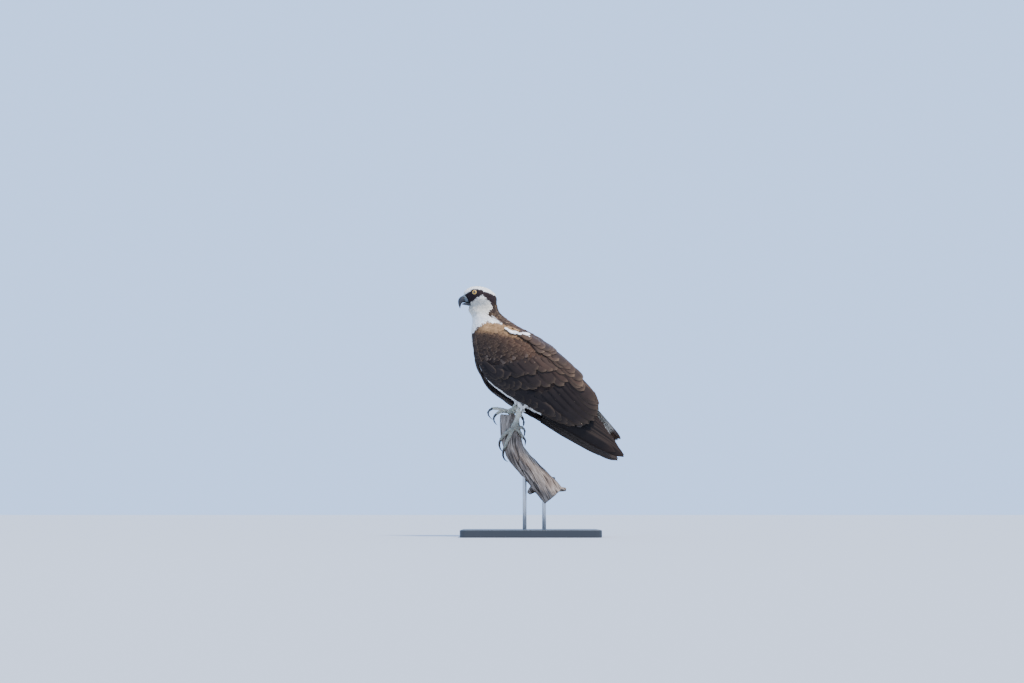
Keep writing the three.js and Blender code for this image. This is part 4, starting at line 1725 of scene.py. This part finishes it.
@dataclass
class Bill:
    """The hooked bill and the soft cere behind it, with their nostrils and gape."""

    voxel: float = 0.4 * MM
    nostril: tuple[float, float, float] = (-167.0, 9.5, 592.0)

    def build(self) -> None:
        """Builds the bill's three pieces from the solids' shapes."""
        horn = Horn("bill_horn", "0e0c10", "221f25", 0.5).material()
        waxy = Tinted("cere_skin", 0.42, 0.15, 0.25).material()
        for node in ("beak_upper", "beak_lower"):
            piece = new_piece(f"{node}_horn", remeshed(merged_nodes([node]), self.voxel, 9), horn, node)
        mesh = remeshed(merged_nodes(["cere"]), self.voxel, 8)
        self.shape_cere(mesh)
        piece = new_piece("cere_skin", mesh, waxy, "cere")

    def shape_cere(self, mesh: bpy.types.Mesh) -> None:
        """Sinks the nostril slits with painted shade in them, and swells the cere round them.

        Args:
            mesh: the cere's mesh.
        """
        points, normals = points_of(mesh), normals_of(mesh)
        x, _, z = (HEAD.straight(points) / MM).T
        dx, dz = x - self.nostril[0], z - self.nostril[2]
        slant = math.radians(35)
        long_way = dx * math.cos(slant) - dz * math.sin(slant)
        short_way = dx * math.sin(slant) + dz * math.cos(slant)
        off = np.hypot(long_way / 2.6, short_way)
        slit = 1 - ramp(off, 0.55, 1.1)
        swell = (1 - ramp(off, 1.2, 2.6)) * 0.45
        move_points(mesh, points + normals * ((swell - 1.7 * slit) * MM)[:, None])
        dark, pale, nostril_shade = (np.array(linear(code)) for code in ("3f464b", "5b6469", "0c0c0e"))
        colour = mix(dark, pale, ramp(scatter_noise(points, 3 * MM, 7.0), -0.5, 0.8))
        # painted shade: the sunk slits are coloured near black
        paint(mesh, mix(colour, nostril_shade, slit))


@dataclass
class Feet:
    """Tarsi, toes and claws."""

    foot_voxel: float = 0.75 * MM
    claw_voxel: float = 0.42 * MM

    def build(self) -> None:
        """Builds both feet with their claws."""
        skin = ScalySkin().material()
        horn = Horn("claw_horn", "141315", "3b3936", 0.22).material()
        for side in Side:
            node = f"foot_{side.word}"
            mesh = remeshed(merged_nodes([node]), self.foot_voxel, 8)
            self.knuckles(mesh)
            piece = new_piece(f"{node}_skin", mesh, skin, node)
            for number in range(1, 5):
                claw = f"claw_{side.word}_{number}"
                mesh = remeshed(merged_nodes([claw]), self.claw_voxel, 9)
                piece = new_piece(f"{claw}_horn", mesh, horn, claw)

    @staticmethod
    def knuckles(mesh: bpy.types.Mesh) -> None:
        """Adds low swellings, so that the toes look jointed, and paints shade on the toes, darker lower
        down.

        Args:
            mesh: one foot's mesh.
        """
        points, normals = points_of(mesh), normals_of(mesh)
        swell = 0.35 * scatter_noise(points, 6 * MM, 9.0) + 0.2 * scatter_noise(points, 2.4 * MM, 3.0)
        move_points(mesh, points + normals * (swell * MM)[:, None])
        # painted shade: the toes below the tarsus are darkened; the noise adds uneven tone
        shade = 0.45 + 0.5 * ramp(points[:, 2] / MM, 268, 300) + 0.1 * scatter_noise(points, 9 * MM, 5.0)
        paint(mesh, shade[:, None] * np.array([1.0, 0.98, 0.93]))


@dataclass
class Perch:
    """The cut length of dead branch, with cracks and ridges along its grain."""

    voxel: float = 1.5 * MM
    line: tuple[tuple[float, float], ...] = (
        (-52, 300), (-51, 278), (-49, 255), (-43, 225), (-29, 198),
        (-9, 174), (13, 150), (37, 124), (58, 100),
    )

    def build(self) -> None:
        """Builds the branch."""
        mesh = remeshed(merged_nodes(["perch"]), self.voxel, 2)
        points, normals = points_of(mesh), normals_of(mesh)
        grain = self.grain(points)
        ridges = self.ridges(grain)
        move_points(mesh, points + normals * (ridges * MM)[:, None])
        paint(mesh, self.weathering_and_crack_shade(points, ridges))
        layer = mesh.attributes.new(GRAIN, "FLOAT_VECTOR", "POINT")
        layer.data.foreach_set("vector", grain.astype(np.float32).ravel())
        piece = new_piece("perch_wood", mesh, DeadWood().material(), "perch")

    def grain(self, points: Array) -> Array:
        """Places as if the branch were straight.

        Args:
            points: places on the branch, in metres.

        Returns:
            Two distances across it and one along it, in metres.
        """
        line = np.array(self.line, dtype=float)
        fine = smooth_row(line, np.linspace(0, len(line) - 1, 90)) * MM
        steps = np.linalg.norm(np.diff(fine, axis=0), axis=1)
        reach = np.concatenate([[0], np.cumsum(steps)])
        gap = points[:, None, [0, 2]] - fine[None]
        nearest = np.argmin((gap**2).sum(-1), axis=1)
        way = unit(np.gradient(fine, axis=0))[nearest]
        off = points[:, [0, 2]] - fine[nearest]
        beside = off[:, 0] * -way[:, 1] + off[:, 1] * way[:, 0]
        along = reach[nearest] + (off * way).sum(1)
        twist = along * 9
        turned_y = beside * np.cos(twist) - points[:, 1] * np.sin(twist)
        turned_x = beside * np.sin(twist) + points[:, 1] * np.cos(twist)
        return np.stack([turned_x, turned_y, along], -1)

    @staticmethod
    def ridges(grain: Array) -> Array:
        """Relief along the grain: soft ridges and a few open cracks.

        Args:
            grain: places as if the branch were straight.

        Returns:
            Millimetres outward for each.
        """
        angle = np.arctan2(grain[:, 1], grain[:, 0])
        along = grain[:, 2] / MM
        soft = 0.55 * np.sin(9 * angle + 0.02 * along) + 0.35 * np.sin(17 * angle - 0.03 * along + 1)
        lumps = 0.8 * scatter_noise(grain, 26 * MM, 2.0)
        wander = 0.25 * np.sin(along / 17) + 0.12 * np.sin(along / 7 + 2)
        cracks = np.zeros(len(grain))
        starts = ((0.4, 2.4, 5, 150), (2.3, 1.9, 60, 230), (-1.6, 2.2, -10, 110), (-2.7, 1.7, 120, 280))
        for start, strength, low, high in starts:
            off = np.abs(np.angle(np.exp(1j * (angle - start - wander))))
            length = ramp(along, low, low + 25) * (1 - ramp(along, high - 30, high))
            cracks = np.maximum(cracks, strength * length * (1 - ramp(off, 0.02, 0.10)))
        return soft * 0.6 + lumps - cracks

    @staticmethod
    def weathering_and_crack_shade(points: Array, ridges: Array) -> Array:
        """A multiplier for the wood's colour: browner in patches, and painted shade in the deep cracks.

        Args:
            points: places on the branch.
            ridges: its relief there, in millimetres.

        Returns:
            A multiplier for each.
        """
        patches = ramp(scatter_noise(points, 38 * MM, 6.0), -0.2, 0.9)
        colour = mix(np.array([0.84, 0.80, 0.76]), np.array([0.58, 0.51, 0.47]), patches * 0.7)
        # painted shade: the deep cracks are darkened
        crack_shade = ramp(-ridges, 0.9, 2.0)
        return colour * (1 - 0.65 * crack_shade[:, None])


@dataclass
class Stand:
    """The plain display stand: a flat painted base and two steel rods."""

    rod_radius: float = 5.0 * MM
    rods: tuple[tuple[str, float, float], ...] = (("stand_rod_1", -14.0, 150.0), ("stand_rod_2", 34.0, 98.0))

    def build(self) -> None:
        """Dresses the base and builds the rods."""
        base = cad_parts["stand_base"]
        base.data.materials.clear()
        base.data.materials.append(PaintedBoard().material())
        steel = BrushedSteel().material()
        for node, x, top in self.rods:
            low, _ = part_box(node)
            self.rod(node, x * MM, low[2], top * MM, steel)

    def rod(self, node: str, x: float, low: float, high: float, material: bpy.types.Material) -> None:
        """Builds one rod, its lower edge bevelled where it meets the base.

        Args:
            node: the node that it replaces.
            x: its place.
            low: its lower end.
            high: its upper end.
            material: its finish.
        """
        post = bmesh.new()
        bmesh.ops.create_circle(post, cap_ends=True, segments=48, radius=self.rod_radius)
        bmesh.ops.translate(post, verts=post.verts, vec=(x, 0, low))
        lifted = bmesh.ops.extrude_face_region(post, geom=post.faces[:])
        top = [v for v in lifted["geom"] if isinstance(v, bmesh.types.BMVert)]
        bmesh.ops.translate(post, verts=top, vec=(0, 0, high - low))
        bmesh.ops.recalc_face_normals(post, faces=post.faces)
        ring = [e for e in post.edges if all(abs(v.co.z - low) < 1e-6 for v in e.verts)]
        bmesh.ops.bevel(
            post, geom=ring, offset=0.4 * MM, affect="EDGES", segments=2, profile=0.5, material=-1
        )
        mesh = mesh_of(post, f"{node}_steel")
        piece = new_piece(f"{node}_steel", mesh, material, node)
        mesh.set_sharp_from_angle(angle=math.radians(30))


# Studio


@dataclass
class Studio:
    """A pale floor and backdrop, soft light and the camera at the photo's viewing angle."""

    photo_width: int = 1024
    aim: tuple[float, float, float] = (-45 * MM, 0.0, 484 * MM)
    camera_distance: float = 3.5
    camera_height: float = 0.06
    metres_per_pixel: float = 2.5 * MM
    sensor_mm: float = 36.0

    def build(self) -> None:
        """Builds the whole setting."""
        self.floor()
        self.world()
        self.sun()
        self.fill()
        self.camera()

    def floor(self) -> None:
        """A wide pale floor."""
        sheet = bmesh.new()
        bmesh.ops.create_grid(sheet, x_segments=1, y_segments=1, size=30)
        mesh = mesh_of(sheet, "floor")
        floor = bpy.data.objects.new("floor", mesh)
        bpy.context.scene.collection.objects.link(floor)
        mesh.materials.append(Finish("matt_floor").done((*linear("b3b9c2"), 1), 0.9))

    def world(self) -> None:
        """A plain pale blue-grey surround."""
        world = bpy.data.worlds.new("surround")
        world.use_nodes = True
        sky = world.node_tree.nodes["Background"].inputs
        sky["Color"].default_value = (*linear("a4c4f4"), 1)
        sky["Strength"].default_value = 2.2
        bpy.context.scene.world = world

    def sun(self) -> None:
        """A high, softened sun, a little behind the bird's back and to its left."""
        lamp = bpy.data.lights.new("sun", "SUN")
        lamp.energy = 5.5
        lamp.angle = math.radians(9)
        lamp.color = linear("fff3e2")
        self.hang("sun", lamp, Vector((0, 0, 0)), Vector((-0.35, 0.42, -1.0)))

    def fill(self) -> None:
        """A weak soft lamp in front, that shows the shaded side."""
        lamp = bpy.data.lights.new("fill", "AREA")
        lamp.shape = "DISK"
        lamp.size = 2.4
        lamp.energy = 10
        lamp.color = linear("f4f1ff")
        place = Vector((-1.8, -3.2, 1.9))
        self.hang("fill", lamp, place, Vector(self.aim) - place)

    def camera(self) -> None:
        """The camera, low and looking a little up as the photo does."""
        lens = bpy.data.cameras.new("camera")
        place = Vector((self.aim[0], -self.camera_distance, self.camera_height))
        way = Vector(self.aim) - place
        lens.sensor_width = self.sensor_mm
        lens.lens = self.sensor_mm * way.length / (self.photo_width * self.metres_per_pixel)
        lens.clip_end = 200
        bpy.context.scene.camera = self.hang("camera", lens, place, way)

    @staticmethod
    def hang(name: str, data: bpy.types.ID, place: Vector, way: Vector) -> bpy.types.Object:
        """Puts a lamp or the camera in the scene.

        Args:
            name: its name.
            data: the lamp or lens.
            place: where it is.
            way: the way it looks.

        Returns:
            Its object.
        """
        holder = bpy.data.objects.new(name, data)
        holder.location = place
        holder.rotation_euler = way.to_track_quat("-Z", "Y").to_euler()
        bpy.context.scene.collection.objects.link(holder)
        return holder


def main() -> None:
    """Builds the bird, its perch, the stand and the studio in order."""
    logging.basicConfig(level=logging.INFO, format="%(name)s %(message)s")
    rng = np.random.default_rng(SEED)
    skin = Skin()
    ContourCoat(skin, rng)
    WingFeathers(skin, rng)
    Tail().build(skin, rng)
    Eyes().build()
    Bill().build()
    Feet().build()
    Perch().build()
    Stand().build()
    Studio().build()


if __name__ == "__main__":
    main()
